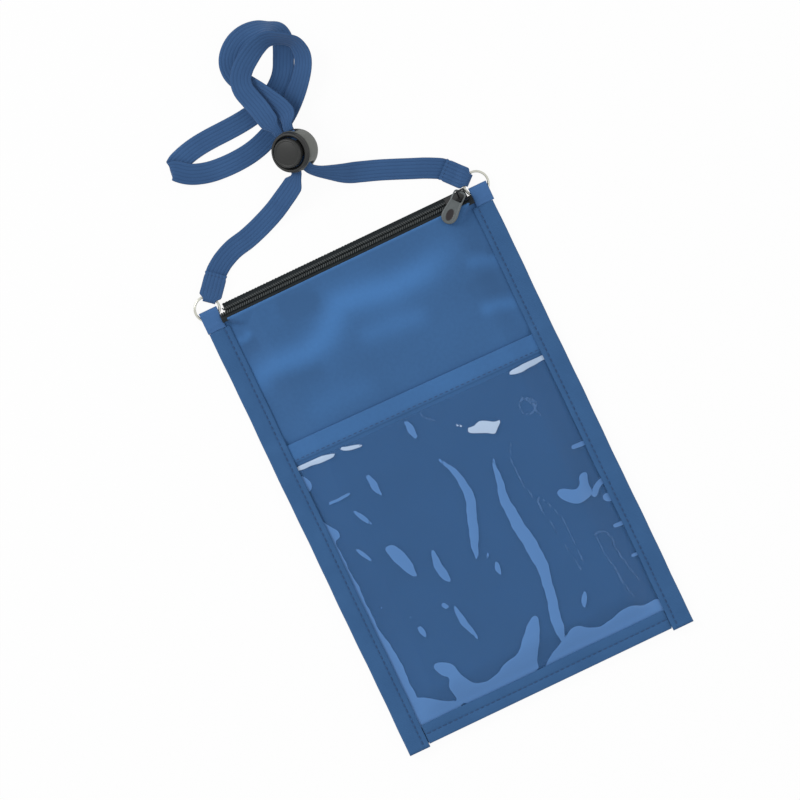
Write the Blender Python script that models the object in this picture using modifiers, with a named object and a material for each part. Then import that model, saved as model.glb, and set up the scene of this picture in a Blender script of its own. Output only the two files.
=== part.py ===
"""Neck wallet lying on its back, its neck cord gathered on the floor above the zipper.

X runs across the wallet, +Y runs up to the zipper and the rings, and +Z is up, away
from the back face. The origin is the centre of the back face. Lengths are in metres.
"""
import math

import bmesh
import bpy
from mathutils import Matrix, Vector

# Driving dimensions of the wallet
WALLET_WIDTH = 0.1397
WALLET_BOTTOM_Y = -0.1083
WALLET_TOP_Y = 0.1083
CLOTH = 0.00035
VINYL = 0.0002
GAP = 0.0003
POCKET_RISE = 0.0042
POCKET_RAMP = 0.014

# Bindings sewn over the edges
BINDING_WIDTH = 0.0099
BOTTOM_BAND_HEIGHT = 0.0090
BINDING_OVERRUN = 0.0012
BINDING_TOP_Y = 0.0981
PANEL_STEP = 0.0012

# Slip pocket: the hem slopes down to the right across the front
HEM_MID_Y = 0.0375
HEM_SLOPE = -0.017
HEM_DEPTH = 0.0079
WINDOW_DROP = 0.0103
BINDING_STEP = 0.0040

# Zipper: a straight chain on a tilted plane between the two panels
ZIP_Y = 0.10415
ZIP_Z = 0.0027
ZIP_TILT = math.radians(35)
ZIP_INSET = 0.01235
ZIP_BAND_HALF = 0.0034
TAPE_SEAM = 0.0012
TAPE_EASE = 0.0003
CHAIN_SLOT = 0.0010
COIL_RADIUS = 0.0006
CORNER_RAMP = 0.0030
CORNER_INSET = 0.00765
CORNER_SLOPE = 1.15

# Slider, bridge and pull of the zipper
SLIDER_INSET = 0.0023
SLIDER_LENGTH = 0.0100
SLIDER_PLATE = 0.0006
FLANGE_WIDTH = 0.0005
LOWER_PLATE_WIDTH = 0.0038
LOWER_PLATE_THICKNESS = 0.0006
NECK_LENGTH = 0.0022
BRIDGE_SPAN = 0.0032
BRIDGE_BAR = 0.0006
BRIDGE_X_OFFSET = 0.0030
PULL_BEARING = math.radians(219.5)
PULL_LENGTH = 0.0158
PULL_THICKNESS = 0.0010
PULL_HEIGHT_Z = 0.0070
PULL_EYE_WIDTH = 0.0058
PULL_END_WIDTH = 0.0074
PULL_BAR = 0.0009
PULL_HOLE_LENGTH = 0.0040
PULL_HOLE_WIDTH = 0.0046
PULL_CHAMFER = 0.0008
BRIDGE_REACH = 0.0015

# Rings and the cloth loops that hold them
RING_WIRE_RADIUS = 0.0005
RING_RADIUS = 0.0055
RING_Z = 0.0018
RING_INSET = {"left": 0.00405, "right": 0.00365}
RING_Y = {"left": 0.1089, "right": 0.1077}
LOOP_WIDTH = 0.0086
LOOP_CREASE_INSET = 0.0005
LOOP_INSET = {"left": 0.00395, "right": 0.00355}

# Flat braided neck cord
CORD_WIDTH = 0.0095
CORD_THICKNESS = 0.0010
BUNCHED_WIDTH = 0.0049
BUNCHED_THICKNESS = 0.0021
BUNCH_LENGTH = {"left": 0.0050, "right": 0.0220, "loops": 0.0055}
LOOPS_STRAIGHT = 0.0030
CORD_RING_STEP = 0.0020
CORD_FLOOR_GAP = 0.00005
CORD_END_LENGTH = 0.0130
CORD_END_WIDTH = 0.0100
CORD_END_DROP = 0.0035
CORD_END_HEADING = {"left": math.radians(50), "right": math.radians(131)}
CORD_LAP = 0.0016
CREASE_OFFSET = 0.0033
CREASE_WIDTH = 0.0056

# Cord lock: a barrel lying on its rounded foot, tilted to the left about the Y axis
LOCK_BASE = Vector((0.00345, 0.1553, 0.0028))
LOCK_TILT = math.radians(28)
LOCK_LENGTH = 0.0140
LOCK_FOOT_RADIUS = 0.0050
LOCK_RADIUS = 0.0094
LOCK_RIM_RADIUS = 0.0090
LOCK_SHOULDER = 0.0050
LOCK_RIM_DEPTH = 0.0022
LOCK_FLOOR = 0.0014
LOCK_BORE_RADIUS = 0.0070
SLOT_BOTTOM = 0.0059
SLOT_TOP = 0.0113
SLOT_WIDTH = 0.0112
BUTTON_TRAVEL = 0.0025
BUTTON_RADIUS = 0.00665
BUTTON_WEB = 0.0016
BUTTON_TOP = 0.0162
BUTTON_BEVEL = 0.0006
SPRING_WIRE_RADIUS = 0.00025
SPRING_RADIUS = 0.0036
SPRING_TURNS = 4
SPRING_POINTS_PER_TURN = 12
CUT_OVERRUN = 0.0020

# Sizes that follow from the ones above
PITCH = CLOTH + GAP
HALF_WIDTH = WALLET_WIDTH / 2
INNER_HALF = HALF_WIDTH - BINDING_WIDTH
PANEL_HALF = HALF_WIDTH - PITCH
PANEL_BOTTOM_Y = WALLET_BOTTOM_Y + PITCH
BAND_TOP_Y = WALLET_BOTTOM_Y + BOTTOM_BAND_HEIGHT
ZIP_FRONT_Y = ZIP_Y - ZIP_BAND_HALF * math.cos(ZIP_TILT)
ZIP_FRONT_Z = ZIP_Z + ZIP_BAND_HALF * math.sin(ZIP_TILT)
TAPE_UNDER = PITCH / math.cos(ZIP_TILT)
ZIP_HALF_LENGTH = HALF_WIDTH - ZIP_INSET
CORNER_REACH = HALF_WIDTH - CORNER_INSET
SLIDER_X = ZIP_HALF_LENGTH - SLIDER_INSET
RING_X = {"left": RING_INSET["left"] - HALF_WIDTH, "right": HALF_WIDTH - RING_INSET["right"]}
LOOP_X = {"left": LOOP_INSET["left"] - HALF_WIDTH, "right": HALF_WIDTH - LOOP_INSET["right"]}

# Hand-chosen routes of the cord: x, y and z at each point, then the way its width points
# there, as the angle about Z from +X and the angle above level, both in degrees. The two
# runs are drawn for rings at the first X below; beyond the second X they move with them.
DRAWN_RING_X = {"left": -0.0658, "right": 0.0662}
MOVING_X = 0.0480
STILL_X = 0.0060
LEFT_RUN_ROUTE = [
    (-0.05597, 0.12062, 0.00055, -41, 0),
    (-0.05450, 0.12230, 0.00055, -52, 0),
    (-0.04980, 0.12540, 0.00055, -63, 0),
    (-0.04350, 0.12800, 0.00055, -73, 0),
    (-0.03630, 0.12950, 0.00058, -75, 0),
    (-0.02860, 0.13190, 0.00095, -70, 1),
    (-0.02050, 0.13510, 0.00230, -66, 4),
    (-0.01390, 0.13850, 0.00460, -62, 10),
    (-0.00820, 0.14170, 0.00740, -57, 18),
    (-0.00500, 0.14430, 0.00910, -43, 24),
    (-0.00375, 0.14640, 0.00980, -19, 27),
    (-0.00357, 0.14850, 0.00996, 0, 28),
    (-0.00357, 0.15300, 0.00996, 0, 28),
    (-0.00357, 0.16370, 0.00996, 0, 28),
]
RIGHT_RUN_ROUTE = [
    (0.05616, 0.11925, 0.00055, 44, 0),
    (0.05495, 0.12050, 0.00055, 59, 0),
    (0.04880, 0.12370, 0.00055, 65, 0),
    (0.04230, 0.12650, 0.00055, 67, 0),
    (0.03580, 0.12930, 0.00060, 67, 0),
    (0.02920, 0.13200, 0.00100, 69, 1),
    (0.02250, 0.13440, 0.00250, 70, 3),
    (0.01580, 0.13680, 0.00520, 67, 8),
    (0.00960, 0.14000, 0.00830, 61, 14),
    (0.00520, 0.14260, 0.01060, 54, 20),
    (0.00230, 0.14530, 0.01200, 34, 26),
    (0.00128, 0.14850, 0.01254, 0, 28),
    (0.00128, 0.15300, 0.01254, 0, 28),
    (0.00128, 0.16370, 0.01254, 0, 28),
]
LOOPS_ROUTE = [
    (0.00128, 0.16400, 0.01254, 0, 28),
    (0.00130, 0.16570, 0.01254, -2, 28),
    (0.00200, 0.16800, 0.01250, -12, 27),
    (0.00290, 0.17020, 0.01220, -8, 26),
    (0.00290, 0.17260, 0.01170, 3, 26),
    (0.00180, 0.17620, 0.01070, 14, 28),
    (-0.00050, 0.18060, 0.00950, 20, 29),
    (-0.00310, 0.18530, 0.00810, 25, 27),
    (-0.00600, 0.18970, 0.00690, 30, 22),
    (-0.00860, 0.19360, 0.00590, 31, 16),
    (-0.01030, 0.19800, 0.00500, 13, 11),
    (-0.01010, 0.20260, 0.00440, -10, 9),
    (-0.00780, 0.20670, 0.00400, -36, 9),
    (-0.00350, 0.21020, 0.00400, -57, 14),
    (0.00190, 0.21200, 0.00420, -80, 24),
    (0.00770, 0.21190, 0.00460, -100, 38),
    (0.01270, 0.21030, 0.00490, -125, 56),
    (0.01600, 0.20700, 0.00390, -148, 38),
    (0.01620, 0.20300, 0.00220, -174, 13),
    (0.01460, 0.19870, 0.00110, -198, 3),
    (0.01270, 0.19470, 0.00062, -209, 0),
    (0.01060, 0.19060, 0.00060, -219, 0),
    (0.00780, 0.18700, 0.00060, -229, 0),
    (0.00380, 0.18370, 0.00060, -238, 0),
    (-0.00160, 0.18090, 0.00060, -246, 0),
    (-0.00700, 0.17900, 0.00060, -255, 0),
    (-0.01270, 0.17780, 0.00060, -263, 0),
    (-0.01850, 0.17720, 0.00060, -267, 0),
    (-0.02460, 0.17690, 0.00060, -268, 0),
    (-0.03100, 0.17670, 0.00060, -266, 0),
    (-0.03760, 0.17620, 0.00060, -263, 0),
    (-0.04330, 0.17520, 0.00060, -260, 0),
    (-0.04810, 0.17380, 0.00060, -264, 0),
    (-0.05140, 0.17250, 0.00060, -271, 0),
    (-0.05300, 0.17180, 0.00082, -276, 0),
    (-0.05370, 0.17140, 0.00166, -278, 0),
    (-0.05300, 0.17100, 0.00250, -280, 0),
    (-0.05140, 0.16970, 0.00268, -284, 0),
    (-0.04830, 0.16710, 0.00260, -292, 0),
    (-0.04420, 0.16500, 0.00200, -293, 0),
    (-0.03800, 0.16330, 0.00110, -280, 0),
    (-0.03030, 0.16260, 0.00065, -272, 0),
    (-0.02240, 0.16280, 0.00060, -264, 0),
    (-0.01540, 0.16390, 0.00060, -255, 0),
    (-0.00860, 0.16610, 0.00060, -250, 0),
    (-0.00240, 0.16880, 0.00070, -247, -2),
    (0.00340, 0.17220, 0.00170, -239, -9),
    (0.00890, 0.17650, 0.00330, -230, -18),
    (0.01440, 0.18180, 0.00440, -224, -27),
    (0.01880, 0.18730, 0.00530, -211, -33),
    (0.02090, 0.19190, 0.00600, -192, -37),
    (0.02110, 0.19580, 0.00680, -168, -45),
    (0.02030, 0.19890, 0.00760, -143, -55),
    (0.01770, 0.20150, 0.00830, -130, -60),
    (0.01400, 0.20380, 0.00880, -118, -55),
    (0.00940, 0.20530, 0.00920, -98, -42),
    (0.00420, 0.20420, 0.00970, -70, -28),
    (-0.00100, 0.20140, 0.01010, -54, -15),
    (-0.00530, 0.19820, 0.01060, -41, -6),
    (-0.00840, 0.19420, 0.01100, -26, -2),
    (-0.00930, 0.18940, 0.01130, -5, 0),
    (-0.00810, 0.18420, 0.01150, 9, 4),
    (-0.00670, 0.17920, 0.01140, 13, 10),
    (-0.00570, 0.17420, 0.01100, 13, 18),
    (-0.00490, 0.17040, 0.01040, 14, 25),
    (-0.00390, 0.16760, 0.01000, 8, 28),
    (-0.00358, 0.16570, 0.00996, 2, 28),
    (-0.00357, 0.16400, 0.00996, 0, 28),
]
LEAST_LOOP_GAP = 0.0004
LOOP_NEIGHBOUR_ARC = 0.0090

# Stations of the grids, as shares of the stretch that each one divides
END_SHARES = [0, 1]
HALF_SHARES = [0, 0.5, 1]
EVEN_SHARES = [0, 0.25, 0.5, 0.75, 1]
SIDE_SHARES = [0, 0.14, 0.28, 0.42, 0.56, 0.7, 0.84, 1]
HEM_SHARES = [0, 0.33, 0.66, 1]
TAPE_SHARES = [0, 0.02, 0.05, 0.5, 0.95, 0.98, 1]
LOWER_LEG_SHARES = [0, 0.5, 0.8, 1]
UPPER_LEG_SHARES = [0, 0.15, 0.3, 0.45, 0.6, 0.8, 1]
WIDTH_SHARES = [-0.5, -0.25, 0, 0.25, 0.5]

# Counts of sides and steps round the curved pieces, and limits of the mesh tools
CREASE_ANGLE = math.radians(40)
MERGE_DISTANCE = 0.00001
COIL_SIDES = 10
RING_STEPS = 40
RING_SIDES = 10
LOCK_STEPS = 40
SPRING_BEVEL_STEPS = 1


def smooth(share):
    """Ease from 0 to 1 as the share goes from 0 to 1, level at both ends."""
    share = min(max(share, 0), 1)
    return share * share * (3 - 2 * share)


def blend(low, high, share):
    return low + (high - low) * share


def spread(low, high, shares):
    return [blend(low, high, share) for share in shares]


def layer(index):
    """Mid-height of the sewn layer with this number, counted up from the floor."""
    return CLOTH / 2 + index * PITCH


def material(name, colour, roughness, metallic=0.0):
    made = bpy.data.materials.new(name)
    made.use_nodes = True
    shader = made.node_tree.nodes["Principled BSDF"]
    shader.inputs["Base Color"].default_value = (*colour, 1)
    shader.inputs["Roughness"].default_value = roughness
    shader.inputs["Metallic"].default_value = metallic
    made.diffuse_color = (*colour, 1)
    return made


def add_mesh(name, mesh, look, collection):
    """Put a mesh in the scene as a named object, shaded smooth up to its corners."""
    thing = bpy.data.objects.new(name, mesh)
    collection.objects.link(thing)
    mesh.materials.append(look)
    mesh.shade_smooth()
    mesh.set_sharp_from_angle(angle=CREASE_ANGLE)
    return thing


def sheet(name, us, vs, place, thickness, look, collection):
    """A cloth or vinyl layer: a grid moved onto place(u, v), thickened both ways."""
    mesh = bpy.data.meshes.new(name)
    grid = bmesh.new()
    columns = len(us) - 1
    rows = len(vs) - 1
    bmesh.ops.create_grid(grid, x_segments=columns, y_segments=rows, size=1)
    for vertex in grid.verts:
        column = round((vertex.co.x + 1) / 2 * columns)
        row = round((vertex.co.y + 1) / 2 * rows)
        vertex.co = place(us[column], vs[row])
    grid.to_mesh(mesh)
    grid.free()
    made = add_mesh(name, mesh, look, collection)
    solidify = made.modifiers.new("thickness", "SOLIDIFY")
    solidify.thickness = thickness
    solidify.offset = 0
    solidify.use_even_offset = True
    return made


def boolean(target, cutter, operation):
    step = target.modifiers.new(operation.lower() + "_" + cutter.name, "BOOLEAN")
    step.operation = operation
    step.object = cutter
    step.solver = "EXACT"


def block(name, low, high, place, look, collection):
    """A box from its low to its high corner in the space of the matrix place."""
    mesh = bpy.data.meshes.new(name)
    box = bmesh.new()
    bmesh.ops.create_cube(box, size=1)
    low = Vector(low)
    high = Vector(high)
    for vertex in box.verts:
        middle = (low + high) / 2
        vertex.co = middle + Vector(a * b for a, b in zip(vertex.co, high - low))
    box.to_mesh(mesh)
    box.free()
    made = add_mesh(name, mesh, look, collection)
    made.matrix_world = place
    return made


def turned(name, profile, steps, place, look, collection):
    """A round piece: a profile of (radius, height) points, top to bottom on its outside."""
    mesh = bpy.data.meshes.new(name)
    points = [(radius, 0, height) for radius, height in profile]
    mesh.from_pydata(points, [(i, i + 1) for i in range(len(points) - 1)], [])
    made = add_mesh(name, mesh, look, collection)
    made.matrix_world = place
    screw = made.modifiers.new("turn", "SCREW")
    screw.steps = steps
    screw.render_steps = steps
    screw.use_merge_vertices = True
    screw.merge_threshold = MERGE_DISTANCE
    screw.use_smooth_shade = True
    return made


def hide_tool(tool):
    tool.hide_render = True
    tool.display_type = "WIRE"


# Heights of the stacked panels

def pocket_lift(x, y):
    """How far the pocket lifts the front panel over its margin at a point.

    It rises from the side seams and the bottom seam, and ends at the zipper. At the
    top corners it falls to the margin in a short slope that widens towards the zipper.
    """
    foot = smooth((y - BAND_TOP_Y) / POCKET_RAMP)
    side = smooth((INNER_HALF - abs(x)) / POCKET_RAMP)
    inward = abs(x) + (ZIP_FRONT_Y - y) * CORNER_SLOPE
    corner = smooth((CORNER_REACH - inward) / CORNER_RAMP)
    head = smooth(1 - (ZIP_FRONT_Y - y) / POCKET_RAMP)
    zip_lift = ZIP_FRONT_Z + TAPE_UNDER - layer(2)
    return max(blend(POCKET_RISE, zip_lift, head) * foot * side, head * zip_lift * corner)


def back_height(x, y):
    """The back lies on the floor and steps up over the bindings' back legs."""
    side = smooth((abs(x) - INNER_HALF + GAP + PANEL_STEP) / PANEL_STEP)
    foot = smooth((BAND_TOP_Y + GAP + PANEL_STEP - y) / PANEL_STEP)
    return blend(layer(0), layer(1), max(side, foot))


def front_height(x, y):
    return layer(2) + pocket_lift(x, y)


def hem_y(x):
    return HEM_MID_Y + HEM_SLOPE * x


def slip_height(x, y):
    """The slip pocket's cloth, lifted by one layer along its hem for the turned leg."""
    rise = smooth((y - hem_y(x) + HEM_DEPTH + PANEL_STEP) / PANEL_STEP)
    return layer(3) + pocket_lift(x, y) + PITCH * rise


def panel_xs():
    """Stations across the wallet, close together at the ramps of the pocket."""
    ramp_foot = INNER_HALF - POCKET_RAMP
    right = spread(0, ramp_foot, EVEN_SHARES)
    right += spread(ramp_foot, INNER_HALF, SIDE_SHARES)[1:]
    right += spread(INNER_HALF, CORNER_REACH, EVEN_SHARES)[1:]
    right += [PANEL_HALF]
    return [-x for x in reversed(right[1:])] + right


def foot_ys():
    ramp_end = BAND_TOP_Y + POCKET_RAMP
    return [PANEL_BOTTOM_Y, BAND_TOP_Y] + spread(BAND_TOP_Y, ramp_end, SIDE_SHARES)[1:]


def build_back_panel(look, collection):
    """Flat back cloth. Its top corners are cut away where the ring loops sit."""
    neck_half = ZIP_HALF_LENGTH + GAP
    corner_half = neck_half + PANEL_STEP
    step_foot = INNER_HALF - GAP - PANEL_STEP
    right = [0, INNER_HALF / 2, neck_half, step_foot, corner_half]
    right += [step_foot + PANEL_STEP, PANEL_HALF]
    xs = [-x for x in reversed(right[1:])] + right
    corner_top = ZIP_FRONT_Y
    common = BINDING_TOP_Y - GAP
    ys = [PANEL_BOTTOM_Y, BAND_TOP_Y + GAP, BAND_TOP_Y + GAP + PANEL_STEP / 2]
    ys += [BAND_TOP_Y + GAP + PANEL_STEP]
    ys += spread(BAND_TOP_Y + BOTTOM_BAND_HEIGHT, common, EVEN_SHARES)
    ys += spread(common, WALLET_TOP_Y, EVEN_SHARES)[1:]

    def place(x, y):
        share = min(max((abs(x) - neck_half) / PANEL_STEP, 0), 1)
        top = blend(WALLET_TOP_Y, corner_top, share)
        height = back_height(x, y)
        if y > common:
            y = blend(common, top, (y - common) / (WALLET_TOP_Y - common))
        return (x, y, height)

    return sheet("back_panel", xs, ys, place, CLOTH, look, collection)


def build_front_panel(look, collection):
    ramp_start = ZIP_FRONT_Y - POCKET_RAMP
    ys = foot_ys() + spread(BAND_TOP_Y + POCKET_RAMP, ramp_start, EVEN_SHARES)[1:]
    ys += spread(ramp_start, ZIP_FRONT_Y, SIDE_SHARES)[1:]

    def place(x, y):
        return (x, y, front_height(x, y))

    return sheet("front_panel", panel_xs(), ys, place, CLOTH, look, collection)


def build_slip_pocket(look, collection):
    """Cloth over the lower front, its top edge turned inwards into a hem."""
    rows = [("face", y) for y in foot_ys()]
    rows += [("reach", share) for share in EVEN_SHARES[1:]]
    rows += [("hem", share) for share in HEM_SHARES]
    rows += [("turn", share) for share in EVEN_SHARES[1:-1]]
    rows += [("leg", share) for share in HALF_SHARES]
    reach_start = BAND_TOP_Y + POCKET_RAMP

    def place(x, row):
        kind, value = row
        top = hem_y(x) - PITCH / 2
        hem_foot = hem_y(x) - HEM_DEPTH - PANEL_STEP
        if kind == "face":
            return (x, value, slip_height(x, value))
        if kind == "reach":
            y = blend(reach_start, hem_foot, value)
            return (x, y, slip_height(x, y))
        if kind == "hem":
            y = blend(hem_foot + PANEL_STEP, top, value)
            return (x, y, slip_height(x, y))
        middle = layer(3) + pocket_lift(x, top) + PITCH / 2
        if kind == "turn":
            angle = math.pi * value
            y = top + PITCH / 2 * math.sin(angle)
            return (x, y, middle + PITCH / 2 * math.cos(angle))
        y = blend(top, hem_foot + PANEL_STEP + GAP, value)
        return (x, y, middle - PITCH / 2)

    return sheet("slip_pocket_panel", panel_xs(), rows, place, CLOTH, look, collection)


def build_clear_window(look, collection):
    rise = (CLOTH + VINYL) / 2 + GAP
    reach_start = BAND_TOP_Y + POCKET_RAMP
    rows = [("foot", y) for y in foot_ys()] + [("reach", share) for share in EVEN_SHARES[1:]]

    def place(x, row):
        kind, y = row
        if kind == "reach":
            y = blend(reach_start, hem_y(x) - WINDOW_DROP, y)
        return (x, y, layer(3) + pocket_lift(x, y) + rise)

    return sheet("clear_window", panel_xs(), rows, place, VINYL, look, collection)


def binding_front(x, y):
    """Height of a binding's front leg: high over the slip pocket, lower above its hem."""
    share = smooth((y - hem_y(x) - GAP) / BINDING_STEP)
    return blend(layer(5), layer(3), share)


def build_side_binding(side, look, collection):
    """Folded tape round one long edge: back leg, fold and front leg."""
    name = "left_binding" if side < 0 else "right_binding"
    bottom = WALLET_BOTTOM_Y - BINDING_OVERRUN
    edge = side * HALF_WIDTH
    step_foot = hem_y(edge) + GAP
    rows = [bottom, 0] + spread(step_foot, step_foot + BINDING_STEP, EVEN_SHARES)
    rows += spread(step_foot + BINDING_STEP, BINDING_TOP_Y, EVEN_SHARES)[1:]
    sections = [("back", share) for share in HALF_SHARES]
    sections += [("fold", share) for share in HEM_SHARES[1:-1]]
    sections += [("front", share) for share in HALF_SHARES]

    def place(section, y):
        kind, share = section
        outer = HALF_WIDTH - PITCH
        front = binding_front(edge, y)
        if kind == "back":
            return (side * blend(INNER_HALF, outer, share), y, layer(0))
        if kind == "front":
            return (side * blend(outer, INNER_HALF, share), y, front)
        angle = math.pi * share
        middle = (front + layer(0)) / 2
        height = middle - (front - layer(0)) / 2 * math.cos(angle)
        return (side * (outer + (PITCH - CLOTH / 2) * math.sin(angle)), y, height)

    return sheet(name, sections, rows, place, CLOTH, look, collection)


def build_bottom_binding(look, collection):
    """Folded tape round the bottom edge, between the side bindings."""
    half = INNER_HALF - GAP
    columns = spread(-half, half, EVEN_SHARES)
    rows = [("back", share) for share in END_SHARES]
    rows += [("fold", share) for share in HEM_SHARES[1:-1]]
    rows += [("front", share) for share in HALF_SHARES]
    outer = WALLET_BOTTOM_Y + PITCH
    front = layer(5)

    def place(x, row):
        kind, share = row
        if kind == "back":
            return (x, blend(BAND_TOP_Y, outer, share), layer(0))
        if kind == "front":
            return (x, blend(outer, BAND_TOP_Y, share), front)
        angle = math.pi * share
        height = (front + layer(0)) / 2 - (front - layer(0)) / 2 * math.cos(angle)
        return (x, outer - (PITCH - CLOTH / 2) * math.sin(angle), height)

    return sheet("bottom_binding", columns, rows, place, CLOTH, look, collection)


# Zipper

def zip_frame(x=0.0):
    """Frame of the chain: X along it, Y across it down the tilt, Z out of it."""
    return Matrix.Translation((x, ZIP_Y, ZIP_Z)) @ Matrix.Rotation(-ZIP_TILT, 4, "X")


def zip_point(x, across, up):
    return zip_frame() @ Vector((x, across, up))


def build_tapes(look, collection):
    xs = spread(-ZIP_HALF_LENGTH, ZIP_HALF_LENGTH, TAPE_SHARES)
    slot = CHAIN_SLOT / 2

    def front(x, row):
        kind, share = row
        if kind == "band":
            return zip_point(x, blend(-ZIP_BAND_HALF, -slot, share), 0)
        y = ZIP_FRONT_Y - TAPE_SEAM * (1 - share)
        return (x, y, front_height(x, y) - TAPE_UNDER - TAPE_EASE * (1 - share))

    rows = [("seam", share) for share in HALF_SHARES[:-1]]
    rows += [("band", share) for share in END_SHARES]
    sheet("zipper_tape_front", xs, rows, front, CLOTH, look, collection)

    flat_start = (ZIP_Z - layer(1)) / math.sin(ZIP_TILT)
    flat_y = ZIP_Y + flat_start * math.cos(ZIP_TILT)

    def rear(x, row):
        kind, share = row
        if kind == "band":
            return zip_point(x, blend(slot, flat_start, share), 0)
        return (x, blend(flat_y, WALLET_TOP_Y - CLOTH, share), layer(1))

    rows = [("band", share) for share in END_SHARES]
    rows += [("seam", share) for share in HALF_SHARES[1:]]
    sheet("zipper_tape_rear", xs, rows, rear, CLOTH, look, collection)


def coil_centre_up():
    return CLOTH / 2 + GAP + COIL_RADIUS


def build_coils(look, collection):
    """The two coil rows, as round bars on either side of the chain's middle slot."""
    for name, side in (("zipper_coil_front", -1), ("zipper_coil_rear", 1)):
        mesh = bpy.data.meshes.new(name)
        bar = bmesh.new()
        bmesh.ops.create_cone(bar, cap_ends=True, segments=COIL_SIDES, radius1=COIL_RADIUS,
                              radius2=COIL_RADIUS, depth=2 * ZIP_HALF_LENGTH)
        bar.to_mesh(mesh)
        bar.free()
        made = add_mesh(name, mesh, look, collection)
        shift = Vector((0, side * (CHAIN_SLOT / 2 + COIL_RADIUS), coil_centre_up()))
        turn = Matrix.Rotation(math.pi / 2, 4, "Y")
        made.matrix_world = zip_frame() @ Matrix.Translation(shift) @ turn


def slider_heights():
    """Heights over the chain plane: plate underside and top, and the bridge's bar."""
    plate_low = coil_centre_up() + COIL_RADIUS + GAP
    plate_top = plate_low + SLIDER_PLATE
    pull_up = (PULL_HEIGHT_Z - ZIP_Z) / math.cos(ZIP_TILT)
    return plate_low, plate_top, pull_up + BRIDGE_REACH


def build_slider(look, collection, tools):
    """Slider: upper plate with side flanges, neck, lower plate and bridge."""
    place = zip_frame(SLIDER_X)
    half = SLIDER_LENGTH / 2
    plate_low, plate_top, bar_up = slider_heights()
    channel = CHAIN_SLOT / 2 + 2 * COIL_RADIUS + GAP
    outer = channel + FLANGE_WIDTH
    neck = CHAIN_SLOT / 2 - GAP
    lower_top = -CLOTH / 2 - GAP
    bar = BRIDGE_BAR / 2
    body = block("zipper_slider", (-half, -outer, plate_low), (half, outer, plate_top),
                 place, look, collection)
    flange_low = CLOTH / 2 + GAP
    post_low = plate_low + SLIDER_PLATE / 2
    left = BRIDGE_X_OFFSET - BRIDGE_SPAN / 2
    right = BRIDGE_X_OFFSET + BRIDGE_SPAN / 2
    neck_high = plate_low + SLIDER_PLATE / 2
    lower_low = lower_top - LOWER_PLATE_THICKNESS
    lower_half = LOWER_PLATE_WIDTH / 2
    pieces = {
        "front_flange": ((-half, -outer, flange_low), (half, -channel, post_low)),
        "rear_flange": ((-half, channel, flange_low), (half, outer, post_low)),
        "neck": ((half - NECK_LENGTH, -neck, lower_top - LOWER_PLATE_THICKNESS / 2),
                 (half, neck, neck_high)),
        "lower_plate": ((-half, -lower_half, lower_low), (half, lower_half, lower_top)),
        "left_post": ((left - bar, -bar, post_low), (left + bar, bar, bar_up + bar)),
        "right_post": ((right - bar, -bar, post_low), (right + bar, bar, bar_up + bar)),
        "bridge_bar": ((left - bar, -bar, bar_up - bar), (right + bar, bar, bar_up + bar)),
    }
    for name, (low, high) in pieces.items():
        tool = block(name, low, high, place, look, tools)
        hide_tool(tool)
        boolean(body, tool, "UNION")
    return body


def pull_frame():
    """Frame of the pull: origin on its swing axis, X along it to its free end."""
    bar_up = slider_heights()[-1]
    origin = zip_point(SLIDER_X + BRIDGE_X_OFFSET, 0, bar_up - BRIDGE_REACH)
    return Matrix.Translation(origin) @ Matrix.Rotation(PULL_BEARING, 4, "Z")


def build_pull(look, collection):
    """Flat pull with an eye at its hinge end and a wider rounded free end."""
    outline = bpy.data.curves.new("zipper_pull", "CURVE")
    outline.dimensions = "2D"
    outline.fill_mode = "BOTH"
    outline.extrude = PULL_THICKNESS / 2
    top = -PULL_BAR / 2
    end = top + PULL_LENGTH
    eye_half = PULL_EYE_WIDTH / 2
    end_half = PULL_END_WIDTH / 2
    hole_half = PULL_HOLE_WIDTH / 2
    hole_start = PULL_BAR / 2
    hole_end = hole_start + PULL_HOLE_LENGTH
    corner_start = end - end_half
    rim = [(top, PULL_CHAMFER - eye_half), (top + PULL_BAR / 2, -eye_half)]
    rim += [(hole_end + PULL_BAR, -eye_half), (corner_start, -end_half)]
    for share in WIDTH_SHARES[1:-1]:
        angle = math.pi * share
        rim.append((corner_start + end_half * math.cos(angle), end_half * math.sin(angle)))
    rim += [(corner_start, end_half), (hole_end + PULL_BAR, eye_half)]
    rim += [(top + PULL_BAR / 2, eye_half), (top, eye_half - PULL_CHAMFER)]
    hole = [(hole_start, -hole_half), (hole_end, -hole_half)]
    hole += [(hole_end, hole_half), (hole_start, hole_half)]
    for points in (rim, hole):
        spline = outline.splines.new("POLY")
        spline.points.add(len(points) - 1)
        for point, (x, y) in zip(spline.points, points):
            point.co = (x, y, 0, 1)
        spline.use_cyclic_u = True
    outline.materials.append(look)
    made = bpy.data.objects.new("zipper_pull", outline)
    collection.objects.link(made)
    made.matrix_world = pull_frame()
    return made


# Rings, their cloth loops and the sewn cord ends

def build_ring(side, look, collection):
    bpy.ops.mesh.primitive_torus_add(
        major_segments=RING_STEPS, minor_segments=RING_SIDES, major_radius=RING_RADIUS,
        minor_radius=RING_WIRE_RADIUS, location=(RING_X[side], RING_Y[side], RING_Z))
    made = bpy.context.object
    made.name = side + "_ring"
    for owner in list(made.users_collection):
        owner.objects.unlink(made)
    collection.objects.link(made)
    made.data.materials.append(look)
    made.data.shade_smooth()
    return made


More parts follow.
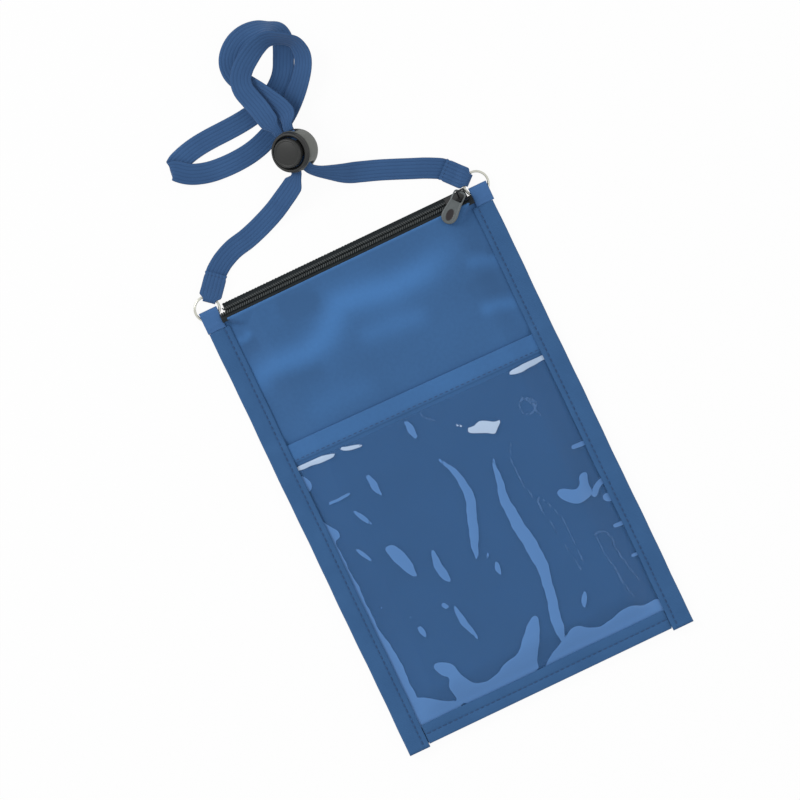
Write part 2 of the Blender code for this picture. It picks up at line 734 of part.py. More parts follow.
def build_ring_loop(side, look, collection):
    """Cloth tab folded through a ring, its front leg dropping to the sewn corner."""
    middle = LOOP_X[side]
    xs = spread(middle - LOOP_WIDTH / 2, middle + LOOP_WIDTH / 2, EVEN_SHARES)
    crease = RING_Y[side] - LOOP_CREASE_INSET - CLOTH / 2
    high = RING_Z + RING_WIRE_RADIUS + GAP + CLOTH / 2
    radius = (high - layer(0)) / 2
    foot = BINDING_TOP_Y + GAP
    turn_y = crease - radius
    foot_height = layer(3)
    rows = [("back", share) for share in END_SHARES]
    rows += [("fold", share) for share in SIDE_SHARES[1:-1]]
    rows += [("front", share) for share in EVEN_SHARES]

    def place(x, row):
        kind, share = row
        if kind == "back":
            return (x, blend(foot, turn_y, share), layer(0))
        if kind == "front":
            y = blend(turn_y, foot, share)
            drop = smooth((ZIP_FRONT_Y - y) / (ZIP_FRONT_Y - foot))
            return (x, y, blend(high, foot_height, drop))
        angle = math.pi * share
        height = layer(0) + radius - radius * math.cos(angle)
        return (x, turn_y + radius * math.sin(angle), height)

    return sheet(side + "_ring_loop", xs, rows, place, CLOTH, look, collection)


def build_cord_end(side, look, collection):
    """End of the cord, folded round the ring and sewn back on the start of its run."""
    centre = Vector((RING_X[side], RING_Y[side], 0))
    heading = CORD_END_HEADING[side]
    along = Vector((math.cos(heading), math.sin(heading), 0))
    across = Vector((-along.y, along.x, 0))
    low = CORD_THICKNESS / 2
    high = RING_Z + RING_WIRE_RADIUS + GAP + CORD_THICKNESS / 2
    closed = low + CORD_THICKNESS + GAP
    radius = (high - low) / 2
    leg_start = CREASE_OFFSET + radius
    wire_clear = RING_RADIUS + RING_WIRE_RADIUS + GAP
    upper_end = CREASE_OFFSET + CORD_END_LENGTH
    lower_end = upper_end - CORD_LAP
    rows = [("lower", share) for share in LOWER_LEG_SHARES]
    rows += [("fold", share) for share in SIDE_SHARES[1:-1]]
    rows += [("upper", share) for share in UPPER_LEG_SHARES]

    def place(share_across, row):
        kind, share = row
        if kind == "lower":
            reach = blend(lower_end, leg_start, share)
            height = low
        elif kind == "upper":
            reach = blend(leg_start, upper_end, share)
            drop = smooth((reach - wire_clear - GAP) / CORD_END_DROP)
            height = blend(high, closed, drop)
        else:
            angle = math.pi * share
            reach = leg_start - radius * math.sin(angle)
            height = low + radius - radius * math.cos(angle)
        spread_share = smooth((reach - leg_start + GAP) / (wire_clear - leg_start))
        width = blend(CREASE_WIDTH, CORD_END_WIDTH, spread_share)
        return centre + along * reach + across * (width * share_across) + Vector((0, 0, height))

    name = side + "_cord_end"
    return sheet(name, WIDTH_SHARES, rows, place, CORD_THICKNESS, look, collection)


# Cord lock

def lock_frame():
    return Matrix.Translation(LOCK_BASE) @ Matrix.Rotation(-LOCK_TILT, 4, "Y")


def lock_slot(name, low, high, look, tools):
    """Straight slot through the lock along Y, for the two bunched cord runs."""
    reach = LOCK_RADIUS + CUT_OVERRUN
    half = SLOT_WIDTH / 2
    tool = block(name, (-half, -reach, low), (half, reach, high), lock_frame(), look, tools)
    hide_tool(tool)
    return tool


def build_lock_body(look, collection, tools):
    swell = LOCK_RADIUS - LOCK_FOOT_RADIUS
    lip = LOCK_RIM_RADIUS - LOCK_BORE_RADIUS
    profile = [(0, LOCK_FLOOR), (LOCK_BORE_RADIUS, LOCK_FLOOR)]
    profile += [(LOCK_BORE_RADIUS, LOCK_LENGTH), (LOCK_BORE_RADIUS + lip / 2, LOCK_LENGTH)]
    profile += [(LOCK_RIM_RADIUS, LOCK_LENGTH - lip / 2)]
    profile += [(LOCK_RIM_RADIUS, LOCK_LENGTH - LOCK_RIM_DEPTH)]
    profile += [(LOCK_RADIUS, LOCK_LENGTH - LOCK_RIM_DEPTH - lip / 2)]
    for share in EVEN_SHARES:
        angle = math.pi / 2 * share
        radius = LOCK_FOOT_RADIUS + swell * math.cos(angle)
        profile.append((radius, LOCK_SHOULDER * (1 - math.sin(angle))))
    profile.append((0, 0))
    body = turned("cord_lock_body", profile, LOCK_STEPS, lock_frame(), look, collection)
    boolean(body, lock_slot("body_slot", SLOT_BOTTOM, SLOT_TOP, look, tools), "DIFFERENCE")
    return body


def build_lock_button(look, collection, tools):
    """Plunger: a web under the cord, side walls past it and the head that is pressed."""
    web_top = SLOT_BOTTOM + BUTTON_TRAVEL
    head_low = SLOT_TOP + BUTTON_TRAVEL
    profile = [(0, BUTTON_TOP), (BUTTON_RADIUS - BUTTON_BEVEL, BUTTON_TOP)]
    profile += [(BUTTON_RADIUS, BUTTON_TOP - BUTTON_BEVEL)]
    profile += [(BUTTON_RADIUS, web_top - BUTTON_WEB), (0, web_top - BUTTON_WEB)]
    button = turned("cord_lock_button", profile, LOCK_STEPS, lock_frame(), look, collection)
    slot = lock_slot("button_slot", web_top, head_low, look, tools)
    boolean(button, slot, "DIFFERENCE")
    return button


def build_lock_spring(look, collection):
    low = LOCK_FLOOR + GAP + SPRING_WIRE_RADIUS
    high = SLOT_BOTTOM + BUTTON_TRAVEL - BUTTON_WEB - GAP - SPRING_WIRE_RADIUS
    count = SPRING_TURNS * SPRING_POINTS_PER_TURN + 1
    curve = bpy.data.curves.new("cord_lock_spring", "CURVE")
    curve.dimensions = "3D"
    curve.bevel_depth = SPRING_WIRE_RADIUS
    curve.bevel_resolution = SPRING_BEVEL_STEPS
    curve.use_fill_caps = True
    spline = curve.splines.new("POLY")
    spline.points.add(count - 1)
    for index, point in enumerate(spline.points):
        angle = 2 * math.pi * index / SPRING_POINTS_PER_TURN
        height = blend(low, high, index / (count - 1))
        point.co = (SPRING_RADIUS * math.cos(angle), SPRING_RADIUS * math.sin(angle), height, 1)
    curve.materials.append(look)
    made = bpy.data.objects.new("cord_lock_spring", curve)
    collection.objects.link(made)
    made.matrix_world = lock_frame()
    return made


# Neck cord

def curve_point(points, index, share):
    """A point of the smooth curve through four neighbouring route points."""
    last = len(points) - 1
    a = points[max(index - 1, 0)]
    b = points[index]
    c = points[min(index + 1, last)]
    d = points[min(index + 2, last)]
    square = share * share
    cube = square * share
    result = []
    for p, q, r, s in zip(a, b, c, d):
        value = 2 * q + (r - p) * share + (2 * p - 5 * q + 4 * r - s) * square
        result.append((value + (3 * q - p - 3 * r + s) * cube) / 2)
    return result


def sample_route(route):
    """Evenly spaced points of a route, as (position, unit vector of the width)."""
    rows = []
    for index in range(len(route) - 1):
        start = Vector(route[index][:3])
        finish = Vector(route[index + 1][:3])
        steps = max(1, round((finish - start).length / CORD_RING_STEP))
        rows += [curve_point(route, index, step / steps) for step in range(steps)]
    rows.append(route[-1])
    samples = []
    for x, y, z, turn, rise in rows:
        turn = math.radians(turn)
        rise = math.radians(rise)
        level = math.cos(rise)
        width_way = Vector((level * math.cos(turn), level * math.sin(turn), math.sin(rise)))
        samples.append((Vector((x, y, z)), width_way))
    return samples


def cord_sections(route, bunch_length, bunched_start, bunched_end):
    """Eight-sided sections along a route, bunched up where the cord enters the lock."""
    samples = sample_route(route)
    arcs = [0.0]
    for (before, _), (after, _) in zip(samples, samples[1:]):
        arcs.append(arcs[-1] + (after - before).length)
    sections = []
    for index, (point, width_way) in enumerate(samples):
        before = samples[max(index - 1, 0)][0]
        after = samples[min(index + 1, len(samples) - 1)][0]
        travel = (after - before).normalized()
        width_way = (width_way - travel * width_way.dot(travel)).normalized()
        thick_way = travel.cross(width_way)
        free = 1
        if bunched_start is not None:
            free = min(free, smooth((arcs[index] - bunched_start) / bunch_length))
        if bunched_end is not None:
            free = min(free, smooth((arcs[-1] - arcs[index] - bunched_end) / bunch_length))
        half = blend(BUNCHED_WIDTH, CORD_WIDTH, free) / 2
        deep = blend(BUNCHED_THICKNESS, CORD_THICKNESS, free) / 2
        nose = deep / 2
        corners = [(half, nose), (half - nose, deep), (nose - half, deep), (-half, nose)]
        corners += [(-half, -nose), (nose - half, -deep), (half - nose, -deep), (half, -nose)]
        section = [point + width_way * w + thick_way * t for w, t in corners]
        lift = max(0, CORD_FLOOR_GAP - min(corner.z for corner in section))
        sections.append([corner + Vector((0, 0, lift)) for corner in section])
    return sections, arcs


def loft(name, sections, look, collection):
    """A closed tube through a row of sections with equal numbers of points."""
    mesh = bpy.data.meshes.new(name)
    tube = bmesh.new()
    rings = [[tube.verts.new(point) for point in section] for section in sections]
    for before, after in zip(rings, rings[1:]):
        for index in range(len(before)):
            following = (index + 1) % len(before)
            tube.faces.new((before[index], before[following], after[following], after[index]))
    tube.faces.new(rings[0])
    tube.faces.new(rings[-1])
    bmesh.ops.recalc_face_normals(tube, faces=tube.faces)
    tube.to_mesh(mesh)
    tube.free()
    return add_mesh(name, mesh, look, collection)


def least_gap(sections, arcs):
    """Least distance between points of the cord that are far apart along it."""
    least = math.inf
    rows = [(arc, point) for section, arc in zip(sections, arcs) for point in section]
    for index, (arc, point) in enumerate(rows):
        for other_arc, other in rows[index + 1:]:
            if other_arc - arc > LOOP_NEIGHBOUR_ARC:
                least = min(least, (other - point).length_squared)
    return math.sqrt(least)


def run_route(route, side):
    """The drawn route of a run, its ring end moved to where the ring now is."""
    shift = RING_X[side] - DRAWN_RING_X[side]
    moved = []
    for x, y, z, turn, rise in route:
        share = smooth((abs(x) - STILL_X) / (MOVING_X - STILL_X))
        moved.append((x + shift * share, y, z, turn, rise))
    return moved


def build_cords(look, collection):
    lock_straight = 2 * LOCK_RADIUS
    for side, route in (("left", LEFT_RUN_ROUTE), ("right", RIGHT_RUN_ROUTE)):
        moved = run_route(route, side)
        sections, arcs = cord_sections(moved, BUNCH_LENGTH[side], None, lock_straight)
        print(side, "run: length", round(arcs[-1], 4))
        loft("neck_cord_" + side + "_run", sections, look, collection)
    sections, arcs = cord_sections(LOOPS_ROUTE, BUNCH_LENGTH["loops"], LOOPS_STRAIGHT, LOOPS_STRAIGHT)
    loft("neck_cord_loops", sections, look, collection)
    gap = least_gap(sections, arcs)
    print("neck cord loops: length", round(arcs[-1], 4), "least gap to itself", round(gap, 5),
          "clear" if gap > LEAST_LOOP_GAP else "too close")


def build():
    for thing in list(bpy.data.objects):
        bpy.data.objects.remove(thing, do_unlink=True)
    parts = bpy.data.collections.new("neck_wallet")
    tools = bpy.data.collections.new("cutters")
    bpy.context.scene.collection.children.link(parts)
    bpy.context.scene.collection.children.link(tools)

    cloth = material("blue polyester cloth", (0.047, 0.120, 0.270), 0.85)
    trim = material("blue binding tape", (0.040, 0.110, 0.260), 0.80)
    vinyl = material("clear vinyl", (0.45, 0.55, 0.65), 0.12)
    tape = material("dark zipper tape", (0.018, 0.022, 0.025), 0.80)
    coil = material("grey coil", (0.045, 0.052, 0.056), 0.45)
    black = material("black painted metal", (0.012, 0.012, 0.013), 0.35, 0.2)
    rubber = material("grey pull", (0.110, 0.125, 0.130), 0.50)
    metal = material("nickel wire", (0.60, 0.60, 0.56), 0.22, 1.0)
    braid = material("blue braid", (0.040, 0.095, 0.200), 0.85)
    grey = material("grey moulded plastic", (0.050, 0.052, 0.050), 0.50)

    build_back_panel(cloth, parts)
    build_front_panel(cloth, parts)
    build_slip_pocket(cloth, parts)
    build_clear_window(vinyl, parts)
    build_side_binding(-1, trim, parts)
    build_side_binding(1, trim, parts)
    build_bottom_binding(trim, parts)
    build_tapes(tape, parts)
    build_coils(coil, parts)
    build_slider(black, parts, tools)
    build_pull(rubber, parts)
    for side in ("left", "right"):
        build_ring(side, metal, parts)
        build_ring_loop(side, trim, parts)
        build_cord_end(side, braid, parts)
    build_lock_body(grey, parts, tools)
    build_lock_button(grey, parts, tools)
    build_lock_spring(metal, parts)
    build_cords(braid, parts)


build()
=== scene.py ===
"""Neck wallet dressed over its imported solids, lying on a pale floor under soft light.

Shapes are worked out in millimetres, in the row frame: X across the wallet, Y up to the
zipper and the rings, Z away from the floor. The mesh maker turns them into metres.
"""
import math

import bmesh
import bpy
import numpy as np
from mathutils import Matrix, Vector


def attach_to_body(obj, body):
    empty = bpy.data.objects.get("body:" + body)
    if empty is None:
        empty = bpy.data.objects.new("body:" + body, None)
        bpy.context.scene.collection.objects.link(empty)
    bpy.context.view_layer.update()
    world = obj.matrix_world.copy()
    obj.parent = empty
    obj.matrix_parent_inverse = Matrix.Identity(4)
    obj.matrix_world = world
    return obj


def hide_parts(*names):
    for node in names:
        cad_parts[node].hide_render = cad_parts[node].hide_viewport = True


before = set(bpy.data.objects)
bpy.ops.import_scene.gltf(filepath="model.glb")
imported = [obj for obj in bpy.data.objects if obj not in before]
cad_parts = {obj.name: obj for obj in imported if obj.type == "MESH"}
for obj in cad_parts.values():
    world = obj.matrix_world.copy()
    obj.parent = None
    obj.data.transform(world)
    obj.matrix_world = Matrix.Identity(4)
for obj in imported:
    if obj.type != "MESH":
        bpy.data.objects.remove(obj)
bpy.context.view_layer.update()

MM = 0.001

# Camera straight above the wallet, turned so that the wallet leans to the left
VIEW_CENTRE = (-5.8, 35.4)
VIEW_DISTANCE = 2967.0
VIEW_TURN = -25.5

bpy.context.scene.view_settings.view_transform = "Standard"
camera = bpy.data.objects.new("camera", bpy.data.cameras.new("camera"))
bpy.context.scene.collection.objects.link(camera)
bpy.context.scene.camera = camera
camera.data.lens = 300
camera.data.sensor_width = 36
camera.data.clip_end = 20
camera.location = (VIEW_CENTRE[0] * MM, VIEW_CENTRE[1] * MM, VIEW_DISTANCE * MM)
camera.rotation_euler = (0, 0, math.radians(VIEW_TURN))


# Materials

class Wire:
    """An output of a material's graph, so that sums and products are written as maths."""

    def __init__(self, finish, socket):
        self.finish = finish
        self.socket = socket

    def maths(self, operation, first, second=0.0):
        inputs = {0: first, 1: second}
        return self.finish.node("ShaderNodeMath", {"operation": operation}, inputs)

    def __add__(self, other):
        return self.maths("ADD", self, other)

    def __sub__(self, other):
        return self.maths("SUBTRACT", self, other)

    def __rsub__(self, other):
        return self.maths("SUBTRACT", other, self)

    def __mul__(self, other):
        return self.maths("MULTIPLY", self, other)

    def __abs__(self):
        return self.maths("ABSOLUTE", self)

    __radd__ = __add__
    __rmul__ = __mul__

    def sine(self):
        return self.maths("SINE", self)

    def power(self, exponent):
        return self.maths("POWER", self, exponent)

    def limited(self):
        return self.finish.node("ShaderNodeClamp", {}, {"Value": self})

    def least(self, other):
        return self.maths("MINIMUM", self, other)


class Finish:
    """One material and its graph."""

    def __init__(self, name, roughness, **constants):
        self.material = bpy.data.materials.new(name)
        self.material.use_nodes = True
        self.tree = self.material.node_tree
        self.shader = self.tree.nodes["Principled BSDF"]
        self.shader.inputs["Roughness"].default_value = roughness
        for socket, value in constants.items():
            self.shader.inputs[socket.replace("_", " ")].default_value = value

    def node(self, kind, settings, inputs, output=0):
        made = self.tree.nodes.new(kind)
        for key, value in settings.items():
            setattr(made, key, value)
        for key, value in inputs.items():
            self.feed(made.inputs[key], value)
        return Wire(self, made.outputs[output])

    def feed(self, socket, value):
        if isinstance(value, Wire):
            self.tree.links.new(value.socket, socket)
        else:
            socket.default_value = value

    def set(self, socket, value):
        self.feed(self.shader.inputs[socket], value)

    def place(self):
        """Object coordinates in millimetres, as three numbers."""
        coordinates = self.node("ShaderNodeTexCoord", {}, {}, "Object")
        return self.node("ShaderNodeVectorMath", {"operation": "SCALE"},
                         {0: coordinates, "Scale": 1 / MM})

    def along_cloth(self):
        """The piece's own map in millimetres: across the cloth, along it, and the whole."""
        mapped = self.node("ShaderNodeUVMap", {"uv_map": "cloth"}, {})
        parts = self.tree.nodes.new("ShaderNodeSeparateXYZ")
        self.feed(parts.inputs[0], mapped)
        return Wire(self, parts.outputs[0]), Wire(self, parts.outputs[1]), mapped

    def carried(self, label):
        """A number that the piece's mesh carries at its points."""
        return self.node("ShaderNodeAttribute", {"attribute_name": label}, {}, "Fac")

    def noise(self, where, scale, detail):
        return self.node("ShaderNodeTexNoise", {"noise_dimensions": "3D"},
                         {"Vector": where, "Scale": scale, "Detail": detail})

    def colours(self, share, first, second):
        """A blend of two colours by a share from 0 to 1."""
        made = self.tree.nodes.new("ShaderNodeMix")
        made.data_type = "RGBA"
        self.feed(made.inputs["Factor"], share)
        for socket, colour in ((made.inputs[6], first), (made.inputs[7], second)):
            self.feed(socket, colour if isinstance(colour, Wire) else (*colour, 1))
        return Wire(self, made.outputs[2])

    def relief(self, height, distance_mm, strength=1.0):
        bump = self.node("ShaderNodeBump", {},
                         {"Height": height, "Distance": distance_mm * MM,
                          "Strength": strength})
        self.set("Normal", bump)

    def grain(self, where, depth_mm):
        """The fine relief of a cast or moulded surface."""
        self.relief(self.noise(where, scale=6.0, detail=2.0), depth_mm)


def tone(red, green, blue):
    """A colour on the 0 to 255 scale of a screen, as the linear light it stands for."""
    scaled = [value / 255 for value in (red, green, blue)]
    return tuple(v / 12.92 if v <= 0.04045 else ((v + 0.055) / 1.055) ** 2.4 for v in scaled)


def woven(name, dark, light, pitch, depth):
    """Plain weave: threads one over one, a sine across times a sine along, with soft clouds
    and a fine mottle of tone. An attribute adds painted light and shade: lighter on the backs
    of the folds, darker in their hollows, and lighter on the hem and the front's top edge."""
    finish = Finish(name, roughness=0.8, Specular_IOR_Level=0.2, Sheen_Weight=0.1)
    across, along, mapped = finish.along_cloth()
    turn = 2 * math.pi / pitch
    threads = (across * turn).sine() * (along * turn).sine()
    clouds = finish.noise(mapped, scale=0.02, detail=3.0)
    # painted light and shade, on the folds, the hem and the front's top edge
    fold = finish.carried("painted_light_and_shade")
    mottle = finish.noise(mapped, scale=0.6, detail=2.0)
    cloud_weight, mottle_weight, thread_weight, level = 0.5, 0.2, 0.06, -0.23
    share = clouds * cloud_weight + mottle * mottle_weight + level + fold
    share = (share + threads * thread_weight).limited()
    finish.set("Base Color", finish.colours(share, dark, light))
    finish.relief(threads, depth, strength=0.5)
    return finish.material


def ribbed(name, dark, light, pitch, depth):
    """Tape with fine ribs across it: a sine along the map, uneven by a slower sine across,
    with soft clouds of tone."""
    finish = Finish(name, roughness=0.8, Specular_IOR_Level=0.2, Sheen_Weight=0.1)
    across, along, mapped = finish.along_cloth()
    turn = 2 * math.pi / pitch
    slower = turn / 1.6
    ribs = (along * turn).sine() * (0.7 + 0.3 * (across * slower).sine())
    clouds = finish.noise(mapped, scale=0.08, detail=3.0)
    cloud_weight, rib_weight, level = 1.2, 0.1, -0.1
    share = (clouds * cloud_weight + level + ribs * rib_weight).limited()
    finish.set("Base Color", finish.colours(share, dark, light))
    finish.relief(ribs, depth, strength=0.6)
    return finish.material


def braided(name, dark, light, line):
    """Flat braid: six rounded ribs along the cord with dark lines between them, each rib
    crossed by fine slanting strands."""
    finish = Finish(name, roughness=0.85, Specular_IOR_Level=0.2, Sheen_Weight=0.15)
    across, along, mapped = finish.along_cloth()
    rib = abs((across * (math.pi / RIB_PITCH)).sine())
    strand_pitch, strand_slant, strand_weight = 0.9, 0.9, 0.12
    strands = ((along + across * strand_slant) * (2 * math.pi / strand_pitch)).sine()
    clouds = finish.noise(mapped, scale=0.05, detail=3.0)
    cloud_weight, level = 1.1, -0.2
    share = (clouds * cloud_weight + level + strands * strand_weight).limited()
    body = finish.colours(share, dark, light)
    valley_edge, valley_slope, valley_cover = 0.42, 3.0, 0.4
    valley = ((valley_edge - rib) * valley_slope).limited() * valley_cover
    finish.set("Base Color", finish.colours(valley, body, line))
    rounded = rib.power(0.6)
    finish.relief(rounded + strands * strand_weight, 0.12, strength=0.8)
    return finish.material


# How much of what lies under it the vinyl covers, where clear and at most, the width over
# which the edge of a painted highlight fades, and each painted highlight's tone and added cover
CLEAR_COVER = 0.2
MOST_COVER = 0.97
PAINTED_SHINE_EDGE = 0.4
PAINTED_SHINES = {"faint": (tone(91, 132, 184), 0.4), "pale": (tone(90, 136, 194), 0.75),
          "bright": (tone(184, 206, 234), 0.95)}


def clear_vinyl():
    """Clear sheet. Where it stands off the cloth its highlights are painted into its colour and
    cover, in outlines that attributes carry as distances in millimetres, negative inside."""
    finish = Finish("clear_vinyl", roughness=0.3, Specular_IOR_Level=0.25)
    colour = tone(70, 115, 169)
    cover = CLEAR_COVER
    # each painted highlight makes the sheet paler and less clear inside its outline
    for label, (shine, more_cover) in PAINTED_SHINES.items():
        share = (0.5 - finish.carried(label + "_edge") * (1 / PAINTED_SHINE_EDGE)).limited()
        colour = finish.colours(share, colour, shine)
        cover = cover + share * more_cover
    finish.set("Base Color", colour)
    finish.set("Alpha", cover.least(MOST_COVER))
    return finish.material


def painted(name, colour, roughness, grain=0.0, metallic=0.0):
    """Plain finish with a light mottle, and a fine grain in relief where asked."""
    finish = Finish(name, roughness, Metallic=metallic)
    where = finish.place()
    mottle = finish.noise(where, scale=0.35, detail=3.0)
    darker, lighter = 0.82, 1.18
    dark = tuple(darker * part for part in colour)
    light = tuple(lighter * part for part in colour)
    finish.set("Base Color", finish.colours(mottle, dark, light))
    if grain:
        finish.grain(where, grain)
    return finish.material


def moulded(name, face, wall, roughness, grain):
    """Moulded plastic with a fine grain. The attribute wall makes its side paler, as painted
    light.
    """
    finish = Finish(name, roughness, Specular_IOR_Level=0.35)
    where = finish.place()
    side = finish.carried("wall")
    mottle = finish.noise(where, scale=0.35, detail=3.0)
    least_share, mottle_weight = 0.7, 0.6
    share = (side * (least_share + mottle_weight * mottle)).limited()
    finish.set("Base Color", finish.colours(share, face, wall))
    finish.grain(where, grain)
    return finish.material


def pull_finish():
    """Painted pull, dark in the hollow that the attribute hollow gives: painted shade."""
    finish = Finish("grey_pull", roughness=0.4, Specular_IOR_Level=0.35)
    where = finish.place()
    hollow = finish.carried("hollow")
    mottle = finish.noise(where, scale=0.6, detail=3.0)
    paint = finish.colours(mottle, tone(80, 86, 88), tone(102, 108, 109))
    # painted shade, near black, in the hollow
    finish.set("Base Color", finish.colours(hollow.limited(), paint, tone(34, 29, 31)))
    finish.grain(where, 0.02)
    return finish.material


# Width of one rib of the braid, in its finish and in the shape of the cord
RIB_PITCH = 1.58

CLOTH_FINISH = woven("blue_cloth", tone(57, 97, 144), tone(74, 128, 190), pitch=0.45, depth=0.03)
BINDING_FINISH = ribbed("blue_binding", tone(51, 91, 137), tone(60, 102, 150), pitch=0.7,
                        depth=0.05)
TAB_FINISH = ribbed("blue_tab", tone(62, 102, 152), tone(74, 116, 170), pitch=0.7, depth=0.05)
TAPE_FINISH = ribbed("zipper_tape", tone(24, 30, 33), tone(38, 44, 47), pitch=0.6, depth=0.08)
THREAD_FINISH = painted("blue_thread", tone(44, 76, 118), roughness=0.7)
BRAID_FINISH = braided("blue_braid", tone(50, 83, 126), tone(66, 104, 152), tone(34, 60, 96))
VINYL_FINISH = clear_vinyl()
COIL_FINISH = painted("coil_plastic", tone(62, 67, 68), roughness=0.45)
SLIDER_FINISH = painted("black_slider", tone(26, 27, 29), roughness=0.3, grain=0.01)
PULL_FINISH = pull_finish()
NICKEL_FINISH = painted("nickel_wire", tone(196, 196, 186), roughness=0.24, metallic=1.0)
# the face's own colour, and the wall's paler tone, which is painted light
LOCK_FINISH = moulded("lock_plastic", tone(40, 41, 40), tone(100, 103, 98), roughness=0.45,
                      grain=0.015)
STEEL_FINISH = painted("spring_steel", tone(190, 190, 190), roughness=0.25, metallic=1.0)


# Meshes

# Straight up, an upright that no path runs along, the angles of a half turn without its
# ends, a distance past every other, and a length that stands for none
UPRIGHT = np.array([0, 0, 1.0])
LEANING = (0.13, 0.08, 1.0)
HALF_TURN = np.linspace(0, math.pi, 13)[1:-1]
FAR = 1e9
TINY = 1e-9


def surface(name, points, finish, around=False, capped=False, cloth=None):
    """Quads over points in rows and columns, or over a stack of such grids. Around joins
    the last column to the first, and capped closes the first and the last row.
    Cloth is the map of the piece in millimetres, with a column more where it goes round."""
    points = np.asarray(points, float)
    if points.ndim == 3:
        points = points[None]
    batch, rows, columns = points.shape[:3]
    index = np.arange(batch * rows * columns).reshape(batch, rows, columns)
    ring = index
    if around:
        index = np.concatenate([index, index[:, :, :1]], axis=2)
    corners = [index[:, :-1, :-1], index[:, :-1, 1:], index[:, 1:, 1:], index[:, 1:, :-1]]
    faces = np.stack(corners, axis=-1).reshape(-1, 4).tolist()
    if capped:
        faces += ring[:, 0, ::-1].tolist() + ring[:, -1].tolist()
    mesh = bpy.data.meshes.new(name)
    mesh.from_pydata(points.reshape(-1, 3) * MM, [], faces)
    if cloth is not None:
        cloth = np.asarray(cloth, float)
        if cloth.ndim == 3:
            cloth = np.broadcast_to(cloth, (batch, *cloth.shape))
        spots = [cloth[:, :-1, :-1], cloth[:, :-1, 1:], cloth[:, 1:, 1:], cloth[:, 1:, :-1]]
        spread = np.stack(spots, axis=-2).reshape(-1, 2)
        room = np.zeros((len(mesh.loops), 2))
        room[:len(spread)] = spread
        mesh.uv_layers.new(name="cloth").data.foreach_set("uv", room.ravel())
    return finished(name, mesh, finish, closed=around and capped)


def finished(name, mesh, finish, closed):
    """The mesh as a smooth object, its faces turned outwards where it is a closed shell."""
    if closed:
        work = bmesh.new()
        work.from_mesh(mesh)
        bmesh.ops.recalc_face_normals(work, faces=work.faces)
        work.to_mesh(mesh)
        work.free()
    mesh.materials.append(finish)
    mesh.shade_smooth()
    made = bpy.data.objects.new(name, mesh)
    bpy.context.scene.collection.objects.link(made)
    return made


def thicken(piece, thickness):
    """Give a sheet its thickness, half on each side of its middle."""
    solidify = piece.modifiers.new("thickness", "SOLIDIFY")
    solidify.thickness = thickness * MM
    solidify.offset = 0.0
    solidify.use_even_offset = True


def attach(piece, body, slot, *nodes):
    """Put a piece on its body, in the place of the solids that it shows. The slot is not used."""
    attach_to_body(piece, body)
    if nodes:
        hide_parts(*nodes)
    return piece


def carry(piece, label, values):
    """Give a piece's mesh a number at each point, for its finish to read."""
    carried = piece.data.attributes.new(label, "FLOAT", "POINT")
    carried.data.foreach_set("value", np.asarray(values, np.float32).ravel())


def welded(piece):
    """Merge the doubled first and last rows of a closed shape, faces turned outwards."""
    work = bmesh.new()
    work.from_mesh(piece.data)
    bmesh.ops.remove_doubles(work, verts=work.verts, dist=0.001 * MM)
    bmesh.ops.recalc_face_normals(work, faces=work.faces)
    work.to_mesh(piece.data)
    work.free()
    return piece


def smooth(share):
    """Soft step from 0 to 1: 3 s^2 - 2 s^3."""
    share = np.clip(share, 0, 1)
    return share * share * (3 - 2 * share)


def mix(low, high, share):
    """From low at share 0 to high at share 1."""
    return low + (high - low) * share


def bell(distance, width):
    """Bell shape: exp of minus (distance / width)^2."""
    return np.exp(-(distance / width) ** 2)


def joined(*coordinates):
    """Coordinates side by side on a last axis, each spread to the shape of them all."""
    return np.stack(np.broadcast_arrays(*coordinates), axis=-1)


def turns(count):
    """Angles of a full turn in even steps, without its end."""
    return np.arange(count) * 2 * math.pi / count


def between(low, high, count):
    """Rows from low to high in even steps, without the first."""
    return mix(low, high, np.linspace(0, 1, count)[1:, None])


def lengths_along(path):
    """Length along a path from its start to each of its points."""
    return np.concatenate([[0], np.cumsum(np.linalg.norm(np.diff(path, axis=0), axis=1))])


def profile_arc(first, second):
    """Length down a profile of two coordinates, from its first row to each row."""
    steps = np.hypot(np.diff(first, axis=0, prepend=first[:1]),
                     np.diff(second, axis=0, prepend=second[:1]))
    return np.cumsum(steps, axis=0)


def point_at(path, arcs, arc):
    """Point of a path at a length along it, by straight stretches."""
    return np.stack([np.interp(arc, arcs, column) for column in np.transpose(path)], axis=-1)


def stations(*stretches):
    """Numbers from the first stretch's start, each stretch as (end, step)."""
    found = [np.array([stretches[0]], float)]
    for end, step in stretches[1:]:
        start = found[-1][-1]
        count = max(1, int(math.ceil(abs(end - start) / step)))
        found.append(np.linspace(start, end, count + 1)[1:])
    return np.concatenate(found)


def from_line(x, y, line, closed=False):
    """Distance of each (x, y) from a line through points, and the share along it: the
    least over its segments of the distance to the nearest point of each segment."""
    line = np.asarray(line, float)
    ends = np.roll(line, -1, axis=0) if closed else line[1:]
    starts = line if closed else line[:-1]
    lengths = np.linalg.norm((ends - starts)[:, :2], axis=1)
    before = np.concatenate([[0], np.cumsum(lengths)[:-1]])
    best = np.full(x.shape, FAR)
    share = np.zeros(x.shape)
    for start, end, length, arc in zip(starts, ends, lengths, before):
        dx, dy = (end - start)[:2]
        t = ((x - start[0]) * dx + (y - start[1]) * dy) / max(length, TINY) ** 2
        t = np.clip(t, 0, 1)
        distance = np.hypot(x - start[0] - t * dx, y - start[1] - t * dy)
        nearer = distance < best
        best = np.where(nearer, distance, best)
        share = np.where(nearer, (arc + t * length) / lengths.sum(), share)
    return best, share


